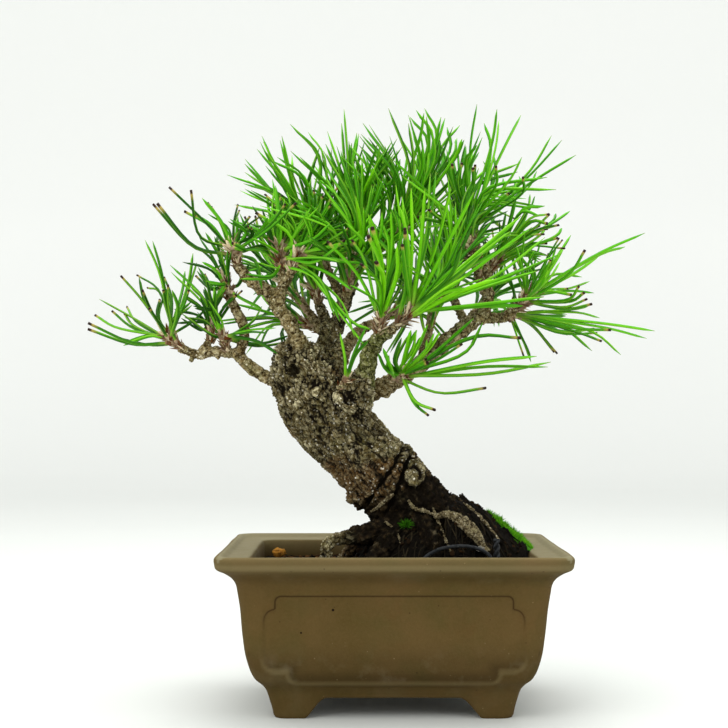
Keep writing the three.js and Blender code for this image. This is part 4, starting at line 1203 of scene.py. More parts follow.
BRANCHES = {
    "left_branch": [
        ([(-34, -2, 123), (-41, -2, 124.5), (-48, -2, 126), (-56, -4, 131), (-61, -5, 136)],
         [3.8, 3.1, 2.7, 2.5, 2.4]),
        ([(-60, -5, 135.5), (-65, -5, 136), (-70, -6, 136.5), (-75, -6, 135), (-83, -6, 138)],
         [2.2, 2, 2, 1.9, 1.6]),
        ([(-60, -5, 135), (-57.5, -6, 142), (-58, -7, 147), (-60.5, -8, 152), (-63, -8, 157)],
         [2.3, 2.1, 2, 2, 1.8]),
        ([(-75, -6, 135), (-72, -7, 139), (-70, -7, 142)], [1.8, 1.5, 1.3]),
        ([(-77, -6, 135), (-78, -9, 132.5)], [1.4, 0.8]),
        ([(-67, -6, 136), (-68, -7, 133.5)], [1.3, 0.8]),
        ([(-50, -3, 127), (-49, -6, 124)], [1.4, 0.7]),
    ],
    "upper_left_branch": [
        ([(-34, -5, 129), (-36, -9, 139), (-39, -11, 146), (-43, -12, 152), (-46, -13, 157)],
         [4.2, 3.3, 2.9, 2.8, 2.9]),
        ([(-45.5, -13, 156), (-49, -13, 160), (-54, -13, 163), (-58, -12, 167), (-60, -12, 170)],
         [2.8, 2.5, 2.4, 2.2, 2]),
        ([(-44, -13, 155), (-42, -14, 161), (-39, -15, 166)], [2.4, 2.1, 1.8]),
        ([(-50, -13, 160), (-52, -14, 158)], [1.6, 0.8]),
    ],
    "centre_branch": [([(-28, 2, 130), (-27, 3, 140), (-26, 4, 148), (-29, 5, 156)],
                       [3, 2.7, 2.4, 1.8])],
    "front_branch": [
        ([(-12, -10, 118), (-10, -16, 128), (-8.5, -20, 135.5), (-5.5, -24, 140.5),
          (-1, -26, 143)], [4.4, 3.8, 3.4, 2.8, 2.3]),
        ([(-8.5, -20, 136), (-11.5, -22, 139)], [2.6, 1.6]),
    ],
    "right_branch": [
        ([(-16, -2, 118), (-6, -4, 121.5), (3, -4, 126), (12, -2, 132.5), (21, 0, 140),
          (28, 2, 145.5), (35, 3, 150.5)], [4.8, 4.2, 3.6, 3.4, 3.3, 3.1, 2.6]),
        ([(34, 3, 149.5), (39, 2.5, 149.8), (44, 1, 150), (48, 0, 152.5)], [2.5, 2.2, 2, 1.7]),
        ([(34, 3, 149), (38, 3, 156), (38, 3, 163), (36.5, 2, 171), (33.5, 1, 178)],
         [2.6, 2.4, 2.3, 2.2, 1.9]),
        ([(22, 1, 141), (27, 10, 146), (31, 19, 150), (34, 25, 152)], [2.5, 2.2, 1.9, 1.6]),
    ],
    "crown_branch": [([(-30, 4, 128), (-24, 6, 141), (-20, 5, 152), (-16, 3, 164), (-14, 2, 174),
                       (-15, 1, 180)], [4.2, 3.5, 3, 2.7, 2.3, 1.9])],
    "back_branch": [
        ([(-24, 8, 120), (-21, 18, 132), (-18, 25, 140), (-12, 30, 147), (-4, 33, 151)],
         [4.2, 3.3, 2.8, 2.4, 1.8]),
        ([(-19, 24, 138), (-24, 28, 143), (-30, 30, 147)], [2.3, 2, 1.6]),
    ],
}
# The centre and crown branches, deep in the crown, take the darker old bark: partly their older bark,
# partly painted shade.
BRANCH_BARKS = {"front_branch": STUB_BARK, "centre_branch": OLD_BARK, "crown_branch": OLD_BARK}


def branch(name, limbs, material, seed):
    bm = bmesh.new()
    for route, radii in limbs:
        tube(bm, route, radii, sides=14, spacing=0.8, swell=0.35)
    bm = one_skin(bm, BRANCH_VOXEL)
    place = grain_guide([route for route, _ in limbs], 1.5)
    bark(bm, place, 3.0, 0.36, 0.3, seed)
    piece(name + "_wood", bm, material, [name])


# ------------------------------------------------------------------ needles

# For each tuft: its shoot's start and end, the way its unseen needles point, their spread in
# degrees, how many pairs, how long they are, how yellow the green is, the share with cut ends,
# and how many white buds it carries.
TUFTS = {
    "left_tip": ((-81, -6, 137), (-87, -6, 142), (-0.6, -0.1, 0.8), 60, 4, (18, 26), 0.3, 0.6, 2),
    "left_knob": ((-70.5, -7, 141), (-70, -8, 147), (-0.1, -0.2, 1), 50, 5, (14, 22), 0.3, 0.2, 1),
    "left_crook": ((-64, -5, 136), (-66, -9, 143), (-0.5, -0.2, 0.9), 45, 3, (20, 28), 0.4, 0.1, 1),
    "left_upright": (
        (-62.5, -8, 156), (-64.5, -8.5, 163), (-0.5, -0.2, 0.9), 60, 5, (16, 24), 0.4, 0.2, 3),
    "left_shoulder": (
        (-59.5, -12, 169), (-62, -12.5, 176), (-0.2, 0, 0.9), 60, 5, (18, 26), 0.35, 0.6, 4),
    "left_scales": (
        (-42, -14, 161), (-43.5, -14.5, 175), (-0.1, -0.1, 1), 60, 14, (22, 34), 0.5, 0.3, 6),
    "middle_scales": (
        (-39.5, -15, 165), (-36, -16.5, 173), (0.35, -0.2, 1), 62, 16, (22, 34), 0.55, 0.2, 5),
    "centre": ((-28.5, 5, 155), (-31, 5, 163), (-0.1, 0, 1), 62, 18, (28, 40), 0.25, 0.1, 2),
    "crown_left": ((-19, 4, 156), (-32, 4, 184), (-0.45, 0.05, 0.8), 42, 20, (36, 48), 0.5, 0, 2),
    "crown_middle": (
        (-14.5, 1.5, 168), (-15.5, 0.5, 182), (-0.05, 0, 1), 36, 22, (38, 50), 0.5, 0, 2),
    "crown_right": ((-15, 3, 168), (3, -4, 184), (0.2, -0.05, 1), 36, 22, (38, 50), 0.5, 0, 2),
    "crown_front": (
        (-20, 4, 151), (-14, -18, 172), (-0.1, -0.2, 1), 46, 26, (32, 46), 0.55, 0, 2),
    "crown_back": (
        (-16, 4, 163), (-20, 24, 182), (-0.1, 0.5, 0.9), 62, 22, (34, 46), 0.35, 0.0, 1),
    "middle_right": (
        (11, -2, 132), (18, -14, 158), (0.2, -0.1, 1), 44, 24, (34, 48), 0.55, 0, 2),
    "apex": ((34, 1, 177), (30, 0, 186), (0.3, 0, 1), 52, 16, (28, 40), 0.45, 0.1, 6),
    "apex_right": ((37.5, 3, 166), (43, 7, 175), (0.8, 0.1, 0.6), 55, 8, (20, 30), 0.4, 0.3, 3),
    "apex_front": ((37, 2.5, 160), (29, -14, 177), (0.1, 0.1, 0.9), 68, 15, (22, 34), 0.4, 0.2, 7),
    "right_tip": ((47, 0, 152), (53.5, -1, 157.5), (0.7, -0.1, 0.7), 62, 8, (18, 28), 0.45, 0.4, 6),
    "right_low": ((42, 1.5, 150), (49.5, 9, 152), (0.8, 0.4, 0.2), 60, 4, (20, 28), 0.45, 0.4, 2),
    "front_low": ((-4, -5, 123), (4, -20, 127), (0.6, -0.6, 0.5), 50, 2, (12, 18), 0.5, 0.3, 1),
    "front_fan_left": ((-6, -24, 140), (-4, -28, 149), (-0.15, 0.3, 1), 40, 5, (30, 42), 0.6, 0.3, 5),
    "front_fan_right": ((-2, -26, 142.5), (7, -29, 150), (0.4, 0.5, 0.9), 50, 4, (30, 42), 0.6, 0, 5),
    "trunk_pair": ((-20, -14, 122), (-17, -19, 125), (0.1, 0, 1), 16, 0, (18, 23), 0.55, 0.2, 0),
    "back_low": ((-6, 32.5, 150), (2, 36, 155), (0.2, 0.8, 0.5), 64, 16, (28, 40), 0.3, 0.1, 1),
    "back_low_left": (
        (-29, 30, 146.5), (-36, 31, 150), (-0.6, 0.6, 0.5), 64, 16, (28, 40), 0.3, 0.1, 1),
    "back_low_right": (
        (33, 24, 151.5), (38, 29, 157), (0.6, 0.6, 0.5), 62, 16, (28, 40), 0.3, 0.1, 1),
    "back_upper_left": (
        (-24, 6, 142), (-44, 20, 166), (-0.5, 0.5, 0.8), 60, 16, (30, 42), 0.35, 0.1, 1),
    "back_upper_right": (
        (30, 17, 149.5), (20, 26, 172), (0.3, 0.5, 0.9), 60, 16, (32, 44), 0.35, 0.1, 1),
}

# The needles that can be told apart in the photograph, read off it: for each, the pixel
# of its middle and its depth there, the same for its tip, how bright its green is from 0 to 9,
# and 1 where its end is cut.
SEEN_NEEDLES = {
    "left_tip": [
        ((133, 343, -10), (88, 323, -14), 3, 1), ((118, 328, -4), (95, 315, -2), 4, 1),
        ((133, 328, 0), (112, 311, 6), 3, 1), ((137, 322, 6), (127, 307, 14), 3, 1),
        ((135, 319, 2), (99, 299, 8), 4, 0), ((142, 300, -14), (121, 276, -22), 3, 1),
        ((160, 292, 4), (137, 275, 10), 2, 1), ((146, 304, 8), (139, 277, 12), 3, 0),
        ((160, 275, -8), (145, 240, -8), 5, 0), ((168, 305, -16), (168, 285, -22), 3, 1),
        ((172, 300, 6), (164, 277, 10), 3, 1), ((183, 308, -16), (189, 290, -20), 4, 1),
        ((188, 285, 4), (193, 253, 10), 4, 0), ((182, 292, 10), (185, 271, 18), 3, 0),
        ((158, 322, -16), (149, 308, -22), 3, 1), ((178, 310, -18), (172, 290, -24), 4, 0),
        ((192, 322, -10), (206, 309, -8), 3, 0), ((150, 345, 6), (118, 338, 14), 2, 1)],
    "left_knob": [
        ((204, 300, -8), (190, 286, -6), 3, 0), ((207, 312, -14), (200, 296, -18), 3, 0),
        ((214, 310, -12), (216, 290, -14), 4, 0), ((222, 316, -6), (232, 300, -2), 3, 0),
        ((200, 330, -6), (181, 318, -4), 3, 0)],
    "left_crook": [
        ((202, 296, -2), (170, 265, 4), 7, 0), ((205, 306, -12), (171, 272, -16), 5, 0),
        ((210, 334, -14), (181, 313, -20), 3, 0), ((216, 332, 0), (197, 312, 6), 3, 0),
        ((222, 322, -14), (208, 300, -18), 5, 0), ((258, 344, -4), (291, 335, -2), 3, 0),
        ((262, 346, 4), (312, 337, 10), 3, 0), ((256, 341, -14), (278, 354, -18), 3, 0),
        ((252, 322, -10), (262, 306, -12), 4, 0), ((250, 330, -16), (276, 328, -22), 4, 0)],
    "left_upright": [
        ((212, 287, -4), (198, 267, 0), 4, 0), ((216, 270, -14), (202, 262, -18), 7, 0),
        ((212, 290, 0), (196, 276, 6), 3, 1), ((213, 308, -12), (193, 306, -14), 3, 0),
        ((226, 272, -12), (220, 250, -14), 4, 0), ((240, 283, -4), (250, 262, 0), 4, 0),
        ((222, 284, -16), (206, 281, -20), 6, 0), ((244, 300, -14), (262, 309, -16), 4, 0)],
    "left_shoulder": [
        ((205, 222, -16), (169, 187, -20), 4, 1), ((192, 246, -6), (153, 204, -4), 3, 1),
        ((199, 235, -22), (191, 190, -28), 1, 1), ((222, 223, -18), (202, 198, -22), 7, 0),
        ((228, 228, -8), (208, 214, -8), 6, 0), ((246, 232, -16), (230, 219, -20), 6, 0),
        ((236, 238, -4), (238, 217, -2), 4, 0), ((251, 236, -18), (248, 226, -22), 1, 1),
        ((226, 256, -2), (216, 238, 2), 3, 0), ((245, 250, -20), (232, 243, -24), 3, 1),
        ((268, 230, -24), (296, 203, -30), 3, 1), ((262, 230, -18), (277, 213, -22), 7, 0),
        ((256, 262, -16), (262, 290, -18), 3, 0), ((262, 247, -8), (283, 262, -4), 3, 0),
        ((217, 268, -8), (202, 262, -6), 4, 0)],
    "left_scales": [
        ((312, 212, -18), (314, 190, -22), 3, 1), ((280, 216, -8), (272, 197, -4), 5, 0),
        ((290, 208, -6), (286, 190, 0), 5, 0), ((280, 228, -18), (261, 219, -22), 6, 0),
        ((284, 215, -6), (266, 203, 2), 5, 0), ((268, 246, -24), (252, 238, -30), 8, 0),
        ((300, 228, -20), (318, 208, -26), 6, 0), ((312, 240, -22), (330, 224, -28), 6, 0),
        ((303, 222, -10), (303, 196, -8), 5, 0), ((314, 262, -24), (345, 240, -30), 5, 1),
        ((276, 268, -20), (256, 262, -24), 5, 0), ((270, 278, -22), (240, 279, -26), 5, 0),
        ((310, 275, -22), (330, 300, -28), 6, 0), ((318, 258, -26), (340, 262, -32), 4, 0)],
    "middle_scales": [
        ((336, 236, -24), (349, 228, -30), 4, 1), ((338, 252, -20), (352, 240, -26), 3, 1),
        ((322, 226, -14), (331, 200, -14), 5, 0), ((330, 240, -10), (326, 214, -8), 6, 0),
        ((345, 262, -22), (372, 262, -26), 4, 1), ((330, 274, -24), (352, 290, -30), 5, 0),
        ((322, 282, -24), (340, 322, -28), 6, 0), ((340, 300, -26), (355, 338, -32), 6, 0),
        ((345, 320, -28), (365, 346, -32), 5, 0), ((312, 238, -20), (306, 210, -24), 6, 0),
        ((350, 240, -26), (372, 214, -30), 6, 0)],
    "crown_left": [
        ((320, 162, -2), (290, 124, -6), 5, 0), ((326, 165, 4), (308, 132, 6), 5, 0),
        ((290, 190, -2), (257, 149, -4), 5, 0), ((276, 196, 8), (245, 159, 14), 5, 0),
        ((307, 182, -12), (277, 157, -20), 5, 0), ((272, 206, -10), (245, 189, -16), 5, 0),
        ((328, 196, 10), (327, 172, 18), 4, 0), ((345, 194, 6), (336, 175, 10), 5, 0),
        ((350, 200, -8), (345, 180, -12), 5, 0), ((300, 206, 10), (288, 192, 18), 5, 0),
        ((330, 205, -14), (318, 180, -20), 6, 0), ((338, 208, 12), (330, 185, 20), 5, 0),
        ((318, 215, -16), (300, 200, -24), 6, 0), ((325, 225, -18), (311, 205, -26), 6, 0)],
    "crown_middle": [
        ((348, 165, 0), (344, 109, -2), 5, 0), ((360, 178, 6), (350, 145, 10), 5, 0),
        ((364, 188, -10), (358, 161, -16), 5, 0), ((368, 182, -4), (362, 152, -8), 6, 0),
        ((372, 186, 10), (366, 157, 18), 4, 0), ((383, 178, 10), (376, 145, 18), 5, 0),
        ((374, 175, -8), (380, 145, -14), 5, 0), ((386, 184, 0), (382, 153, 2), 6, 0),
        ((394, 186, 12), (388, 161, 20), 5, 0), ((392, 182, -12), (397, 150, -18), 5, 0),
        ((356, 190, 14), (346, 165, 22), 4, 0), ((378, 190, -16), (371, 165, -24), 6, 0)],
    "crown_right": [
        ((427, 152, 4), (410, 117, 6), 5, 0), ((433, 146, 0), (416, 110, -2), 5, 0),
        ((417, 148, -6), (424, 113, -12), 5, 0), ((402, 185, 10), (408, 151, 16), 5, 0),
        ((410, 182, -2), (413, 150, -6), 6, 0), ((412, 184, 12), (418, 155, 20), 4, 0),
        ((430, 158, -4), (441, 117, -10), 5, 0), ((433, 154, 6), (445, 118, 12), 6, 0),
        ((432, 165, -12), (432, 131, -18), 5, 0), ((447, 158, 2), (447, 127, 8), 5, 0),
        ((449, 166, 10), (457, 138, 18), 4, 0), ((452, 162, -8), (462, 139, -14), 5, 0),
        ((458, 172, 0), (466, 146, 6), 4, 0), ((425, 170, 14), (428, 140, 22), 4, 0),
        ((420, 176, -14), (422, 148, -22), 6, 0), ((440, 170, 16), (441, 145, 24), 4, 0)],
    "crown_front": [
        ((392, 235, -30), (385, 205, -38), 6, 0), ((376, 240, -32), (368, 214, -40), 7, 0),
        ((404, 232, -30), (404, 206, -36), 6, 0), ((365, 245, -30), (345, 222, -36), 6, 0),
        ((415, 240, -28), (420, 212, -34), 6, 0)],
    "apex": [
        ((470, 152, -2), (477, 104, -6), 5, 0), ((491, 147, -10), (497, 109, -18), 5, 0),
        ((494, 155, 2), (499, 120, 6), 6, 0), ((502, 152, 4), (521, 115, 10), 5, 0),
        ((508, 182, -10), (522, 157, -18), 5, 0), ((527, 178, 6), (562, 140, 12), 5, 0),
        ((535, 180, -12), (576, 155, -20), 4, 0), ((520, 196, -16), (523, 177, -24), 4, 1),
        ((524, 192, 8), (537, 171, 16), 6, 0), ((495, 188, -16), (496, 166, -24), 4, 1),
        ((473, 185, -18), (473, 168, -26), 4, 1), ((456, 186, -16), (452, 164, -24), 4, 1),
        ((467, 165, -14), (477, 145, -22), 5, 0), ((470, 172, 8), (479, 152, 16), 5, 0),
        ((497, 204, -20), (509, 193, -26), 4, 1), ((492, 182, 10), (483, 161, 18), 5, 0),
        ((438, 202, -18), (392, 159, -28), 7, 0), ((440, 205, -22), (402, 176, -32), 6, 0),
        ((440, 222, -22), (418, 217, -30), 3, 1), ((502, 196, 12), (503, 178, 20), 4, 0),
        ((510, 200, 0), (516, 180, 6), 5, 0), ((436, 214, -8), (410, 190, -12), 5, 0),
        ((445, 226, -20), (420, 228, -26), 4, 1)],
    "apex_right": [
        ((520, 212, -14), (545, 206, -20), 6, 0), ((527, 221, -18), (549, 214, -24), 3, 1),
        ((551, 224, 10), (570, 211, 16), 5, 0), ((535, 231, -16), (559, 225, -22), 3, 1),
        ((538, 237, 2), (547, 223, 8), 3, 1), ((552, 238, 8), (562, 228, 14), 5, 0),
        ((528, 212, 4), (535, 196, 10), 5, 0), ((520, 228, 12), (528, 208, 18), 5, 0),
        ((510, 222, -10), (516, 200, -14), 5, 0), ((535, 245, -10), (558, 238, -14), 4, 1)],
    "right_tip": [
        ((596, 255, 2), (645, 233, 6), 5, 0), ((573, 274, 10), (601, 254, 16), 5, 0),
        ((568, 275, -12), (585, 250, -18), 4, 1), ((567, 300, -18), (579, 286, -24), 3, 1),
        ((568, 291, 10), (594, 293, 18), 4, 0), ((565, 309, -14), (592, 304, -20), 4, 1),
        ((553, 275, 14), (582, 277, 22), 4, 0), ((556, 258, 8), (571, 235, 14), 6, 0),
        ((545, 262, -12), (559, 238, -18), 3, 1), ((522, 262, -12), (525, 232, -18), 5, 0),
        ((514, 264, 6), (511, 240, 12), 5, 0), ((535, 262, 10), (541, 240, 16), 5, 0),
        ((528, 266, -20), (535, 250, -26), 5, 0), ((548, 280, 0), (560, 262, 6), 6, 0),
        ((540, 285, -20), (548, 270, -26), 6, 0)],
    "right_low": [
        ((600, 323, 6), (655, 331, 10), 7, 0), ((588, 330, -4), (621, 355, -10), 6, 0),
        ((560, 326, 12), (592, 351, 20), 5, 0), ((575, 328, -12), (611, 330, -18), 3, 1),
        ((560, 333, 4), (597, 333, 10), 3, 1), ((523, 340, 4), (531, 362, 8), 3, 0),
        ((545, 316, 14), (566, 316, 20), 4, 0), ((572, 312, -6), (600, 318, -10), 6, 0)],
    "front_low": [
        ((480, 367, -30), (548, 367, -34), 6, 0), ((485, 374, -26), (551, 362, -26), 5, 0),
        ((440, 393, -18), (486, 388, -12), 3, 1), ((415, 401, -30), (435, 410, -36), 4, 1),
        ((463, 354, -28), (483, 322, -30), 5, 0), ((435, 361, -32), (462, 344, -38), 4, 1),
        ((428, 350, -34), (440, 332, -42), 6, 0), ((425, 355, -22), (433, 335, -20), 7, 0),
        ((412, 350, -30), (416, 330, -34), 8, 0), ((390, 366, -30), (383, 348, -34), 4, 0),
        ((470, 338, -28), (521, 338, -30), 3, 1), ((386, 369, -28), (378, 353, -30), 3, 0),
        ((388, 371, -25), (389, 355, -27), 4, 0), ((396, 361, -28), (409, 334, -34), 3, 0),
        ((436, 352, -24), (474, 318, -22), 5, 0),
        ((415, 353, -36), (428, 324, -44), 8, 0), ((407, 347, -32), (411, 330, -36), 8, 0)],
    "front_fan_left": [
        ((382, 265, -38), (372, 227, -46), 9, 1), ((358, 275, -28), (327, 241, -28), 5, 1),
        ((366, 265, -36), (352, 240, -42), 5, 1), ((371, 258, -22), (356, 227, -18), 4, 1),
        ((376, 258, -26), (368, 214, -24), 8, 0), ((397, 275, -44), (397, 246, -54), 9, 0),
        ((388, 262, -20), (384, 225, -14), 7, 0), ((392, 250, -34), (391, 212, -38), 7, 0),
        ((380, 285, -44), (361, 264, -54), 6, 1), ((384, 280, -46), (376, 262, -58), 8, 1),
        ((403, 262, -40), (405, 228, -48), 8, 1), ((375, 300, -40), (350, 285, -50), 7, 0),
        ((404, 245, -24), (402, 196, -18), 7, 0), ((400, 240, -30), (396, 185, -32), 7, 0)],
    "front_fan_right": [
        ((485, 304, -36), (544, 297, -40), 5, 0), ((480, 289, -34), (537, 271, -36), 8, 0),
        ((490, 284, -30), (562, 253, -28), 6, 0), ((475, 269, -42), (532, 227, -50), 5, 0),
        ((468, 262, -38), (521, 216, -46), 5, 0), ((443, 252, -42), (474, 192, -52), 8, 0),
        ((436, 246, -38), (451, 187, -44), 9, 0), ((421, 246, -44), (425, 189, -54), 8, 0),
        ((412, 247, -34), (411, 188, -38), 7, 0), ((407, 270, -40), (405, 231, -48), 4, 1),
        ((444, 271, -46), (461, 237, -56), 4, 0), ((452, 280, -48), (483, 253, -60), 2, 0),
        ((455, 294, -46), (496, 279, -56), 9, 0), ((440, 292, -46), (466, 276, -56), 9, 0),
        ((458, 262, -24), (498, 214, -18), 3, 0), ((428, 236, -24), (436, 172, -18), 5, 0)],
    "trunk_pair": [((345, 358, -22), (340, 333, -24), 5, 0), ((354, 354, -28), (366, 327, -36), 4, 0)],
}
BRIGHTEST = 9
PARTNER_SHARE = 0.5
STOUT_TUFTS = ("front_fan_left", "front_fan_right", "front_low", "trunk_pair")
STOUTNESS = 1.28
OLD_GREEN = 0.2  # how much deeper the green of the low left tufts is

NEEDLE_STEPS = 9
NEEDLE_HALF_WIDTH = 0.68
NEEDLE_FLATNESS = 0.7
SHEATH_LENGTH = 3.0
FOOT_OFFSET = 0.9  # how far from its shoot's middle line a needle or scale starts


def rod_mesh(name, sides, steps, layers):
    """A straight rod of radius 1 from z 0 to 1, cut into steps, to be bent and placed many times."""
    bm = bmesh.new()
    new_layers(bm, *layers)
    bmesh.ops.create_cone(bm, cap_ends=True, segments=sides, radius1=1, radius2=1, depth=1,
                          matrix=Matrix.Translation((0, 0, 0.5)))
    upright = [edge for edge in bm.edges if abs(edge.verts[0].co.z - edge.verts[1].co.z) > 0.5]
    bmesh.ops.subdivide_edges(bm, edges=upright, cuts=steps - 1, use_grid_fill=True)
    return mesh_of(bm, name)


# The face layer runs across a needle; the needles' material turns it into painted shade and a painted
# highlight.
ROD = rod_mesh("rod", 6, NEEDLE_STEPS, ("along", "tone", "cut", "face"))
SHORT_ROD = rod_mesh("short_rod", 7, 5, ("along", "tone"))


def put_rod(bm, rod, route, radius_at, flatness, spin, values):
    """Bends a rod along a smooth curve and writes its attributes."""
    verts = added(bm, rod)
    along = bm.verts.layers.float["along"]
    layers = [(bm.verts.layers.float[key], value) for key, value in values.items()]
    face = bm.verts.layers.float.get("face")
    frames = {}
    for vert in verts:
        # Where across the rod a vertex lies, for the needles' painted shade and painted highlight.
        if face:
            vert[face] = vert.co.x
        share = round(min(max(vert.co.z, 0), 1), 4)
        if share not in frames:
            here = along_curve(route, share)
            ahead = along_curve(route, min(share + 0.02, 1))
            behind = along_curve(route, max(share - 0.02, 0))
            across, up = sideways((ahead - behind).normalized(), spin)
            frames[share] = (here, across, up, radius_at(share))
        here, across, up, radius = frames[share]
        vert.co = here + across * vert.co.x * radius + up * vert.co.y * radius * flatness
        vert[along] = share
        for layer, value in layers:
            vert[layer] = value


def wander(roll, amount):
    return Vector([roll.uniform(-amount, amount) for _ in range(3)])


def straight(foot, way):
    return [foot, foot + way * 0.5, foot + way]


def put_needle(bm, route, tone, cut, stoutness, roll):
    """One needle along a route from its foot to its tip."""
    half = NEEDLE_HALF_WIDTH * stoutness * roll.uniform(0.85, 1.2)

    def radius_at(share):
        foot = lerp(0.72, 1.0, smoothstep(0, 0.12, share))
        point = 1.0 if cut else 1 - 0.86 * smoothstep(0.86, 1.0, share)
        return half * foot * point * lerp(1.0, 0.84, share)

    spin = wander(roll, 1).normalized()
    values = {"tone": tone, "cut": float(cut)}
    put_rod(bm, ROD, route, radius_at, NEEDLE_FLATNESS, spin, values)


def put_scale(bm, base, direction, size, wide, tone):
    put_rod(bm, SHORT_ROD, straight(base, direction * size),
            lambda share: wide * (1 - share) ** 0.6 + 0.05, 0.5, sideways(direction)[0],
            {"tone": tone})


SCALES_PER_TUFT, SCALES_PER_BUD = 30, 8
PALE_SCALES = 0.25
OPEN_FRONTS = ("left_scales", "middle_scales", "left_shoulder", "apex_front", "right_tip")
LEAFY_LENGTH = 20  # of a shoot, at most, back from its end
SHOOT_RADII = (1.9, 1.6, 1.5)
SPIRAL = 2.4  # the turn from one needle or scale to the next round a shoot


BUD_LENGTHS = (4.0, 7.5)
BUD_THINNEST, BUD_SWELL = 0.25, 0.75


def bud_radius(share):
    return BUD_THINNEST + BUD_SWELL * math.sin(math.pi * min(share * 0.8 + 0.2, 1))


def tuft(name, facts, seed):
    """A shoot with its buds, its scales and its sheathed needles, in twos where both show."""
    start, end, along, spread, pairs, lengths, green, cut_share, buds = facts
    roll = random.Random(seed)
    start, end, along = Vector(start), Vector(end), Vector(along).normalized()
    axis = (end - start).normalized()
    stoutness = STOUTNESS if name in STOUT_TUFTS else 1.0
    deeper = OLD_GREEN * smoothstep(-38, -56, end.x)
    leaves = bmesh.new()
    papers = bmesh.new()

    def foot_place(share):
        turn = roll.uniform(0, 2 * math.pi)
        across, up = sideways(axis)
        back = lerp(0.0, min(LEAFY_LENGTH, (end - start).length * 0.7), share)
        return end - axis * back + (across * math.cos(turn) + up * math.sin(turn)) * FOOT_OFFSET

    def sheathed(base, middle, tip, tone, is_cut, twin):
        """A papery sheath with one or two needles that pass through the middle to the tip."""
        leaving = ((middle - base).normalized() * 0.8 + axis * 0.2).normalized()
        foot = base + leaving * SHEATH_LENGTH * 0.7
        size = (tip - base).length
        tone = max(tone - deeper, 0)
        put_needle(leaves, [foot, middle, tip], tone, is_cut, stoutness, roll)
        if twin:
            apart = sideways((tip - middle).normalized(), wander(roll, 1).normalized())[0]
            beside = middle + apart * size * 0.03
            other = tip + apart * size * roll.uniform(0.06, 0.15)
            other -= (tip - middle) * roll.uniform(0.05, 0.4)
            put_needle(leaves, [foot, beside, other], tone * 0.8, is_cut, stoutness, roll)
        put_rod(papers, SHORT_ROD, straight(base, leaving * SHEATH_LENGTH),
                lambda share: lerp(1.0, 0.75, share), 1.0, sideways(leaving)[0],
                {"tone": roll.uniform(0.4, 1.0)})

    for middle, tip, brightness, is_cut in SEEN_NEEDLES.get(name, ()):
        tone = min(max(brightness / BRIGHTEST + roll.gauss(0, 0.1), 0), 1)
        sheathed(foot_place(roll.random() * 0.7), from_photo(middle[:2], middle[2]),
                 from_photo(tip[:2], tip[2]), tone, is_cut, roll.random() < PARTNER_SHARE)

    lowest = math.cos(math.radians(spread))
    tilt = along.to_track_quat("Z", "Y").to_matrix()
    for i in range(pairs):
        share = (i + roll.random()) / pairs
        cosine = 1 - share * (1 - lowest)
        turn = i * SPIRAL + roll.uniform(-0.7, 0.7)
        sine = math.sqrt(1 - cosine * cosine)
        direction = tilt @ Vector((sine * math.cos(turn), sine * math.sin(turn), cosine))
        direction = (direction + wander(roll, 0.22)).normalized()
        if name in OPEN_FRONTS:
            direction.y = abs(direction.y) - 0.15
        base = foot_place(share)
        size = roll.uniform(*lengths)
        leaning = (axis * 0.45 + direction * 0.55 + wander(roll, 0.1)).normalized()
        tip = base + direction * size
        tone = min(max(green + roll.gauss(0, 0.24), 0), 1)
        sheathed(base, base + leaning * size * 0.5, tip, tone, roll.random() < cut_share, True)

    across, up = sideways(axis)
    for i in range(SCALES_PER_TUFT + SCALES_PER_BUD * buds):
        turn = i * SPIRAL
        side = across * math.cos(turn) + up * math.sin(turn)
        back = axis * roll.uniform(-2.0, 8)
        lean = (side * roll.uniform(0.35, 0.95 + 0.12 * buds) + axis).normalized()
        size = roll.uniform(1.6, 3.6) + 0.5 * buds * roll.random()
        pale = roll.random() < PALE_SCALES
        put_scale(papers, end - back + side * FOOT_OFFSET, lean, size, roll.uniform(0.5, 1.05),
                  roll.uniform(0.0, 0.25) if pale else roll.uniform(0.65, 1.0))
    for _ in range(buds):
        lean = (axis + wander(roll, 0.65)).normalized()
        size = roll.uniform(*BUD_LENGTHS)
        foot = end - axis * roll.uniform(0, 3)
        put_rod(papers, SHORT_ROD, straight(foot, lean * size), bud_radius, 1.0,
                sideways(lean)[0], {"tone": roll.uniform(0.0, 0.3)})
    piece("tuft_" + name, leaves, NEEDLE, ["needles_" + name])
    piece("scales_" + name, papers, SCALES)
    shoot = bmesh.new()
    tube(shoot, [start, start.lerp(end, 0.5), end], SHOOT_RADII, spacing=0.6, swell=0.4)
    shoot = one_skin(shoot, SHOOT_VOXEL)
    bark(shoot, grain_guide([[start, end]], 1.5), 1.5, 0.5, 0.4, seed)
    piece("shoot_" + name, shoot, TWIG_BARK)


# ------------------------------------------------------------------ wire and things under the soil

WIRE_RADIUS = 0.65
WIRE_ARCH = [
    (8.5, -36, 51.5), (9.5, -36, 56.5), (12, -36, 60), (17, -35.5, 62.6), (23, -35, 63.6),
    (29, -34.5, 63.2), (33.5, -34.5, 61.4), (36, -35, 58.6), (37.4, -35.3, 51.5),
]
TWIST_FOOT = Vector((37.8, -34.5, 51.5))
TWIST_HEIGHT, TWIST_TURNS, TWIST_RADIUS = 14.5, 2.5, 0.62
TWIST_STEPS = 24


def tie_wire():
    bm = bmesh.new()
    tube(bm, WIRE_ARCH, [WIRE_RADIUS, WIRE_RADIUS], spacing=0.8)
    for start in (0, math.pi):
        route = []
        for i in range(TWIST_STEPS + 1):
            turn = start + i / TWIST_STEPS * TWIST_TURNS * 2 * math.pi
            side = Vector((math.cos(turn), math.sin(turn), 0)) * TWIST_RADIUS
            route.append(TWIST_FOOT + side + Vector((0, 0, i / TWIST_STEPS * TWIST_HEIGHT)))
        tube(bm, route, [WIRE_RADIUS, WIRE_RADIUS], spacing=0.5)
    piece("tie_wire_twisted", bm, WIRE, ["tie_wire"], 40)


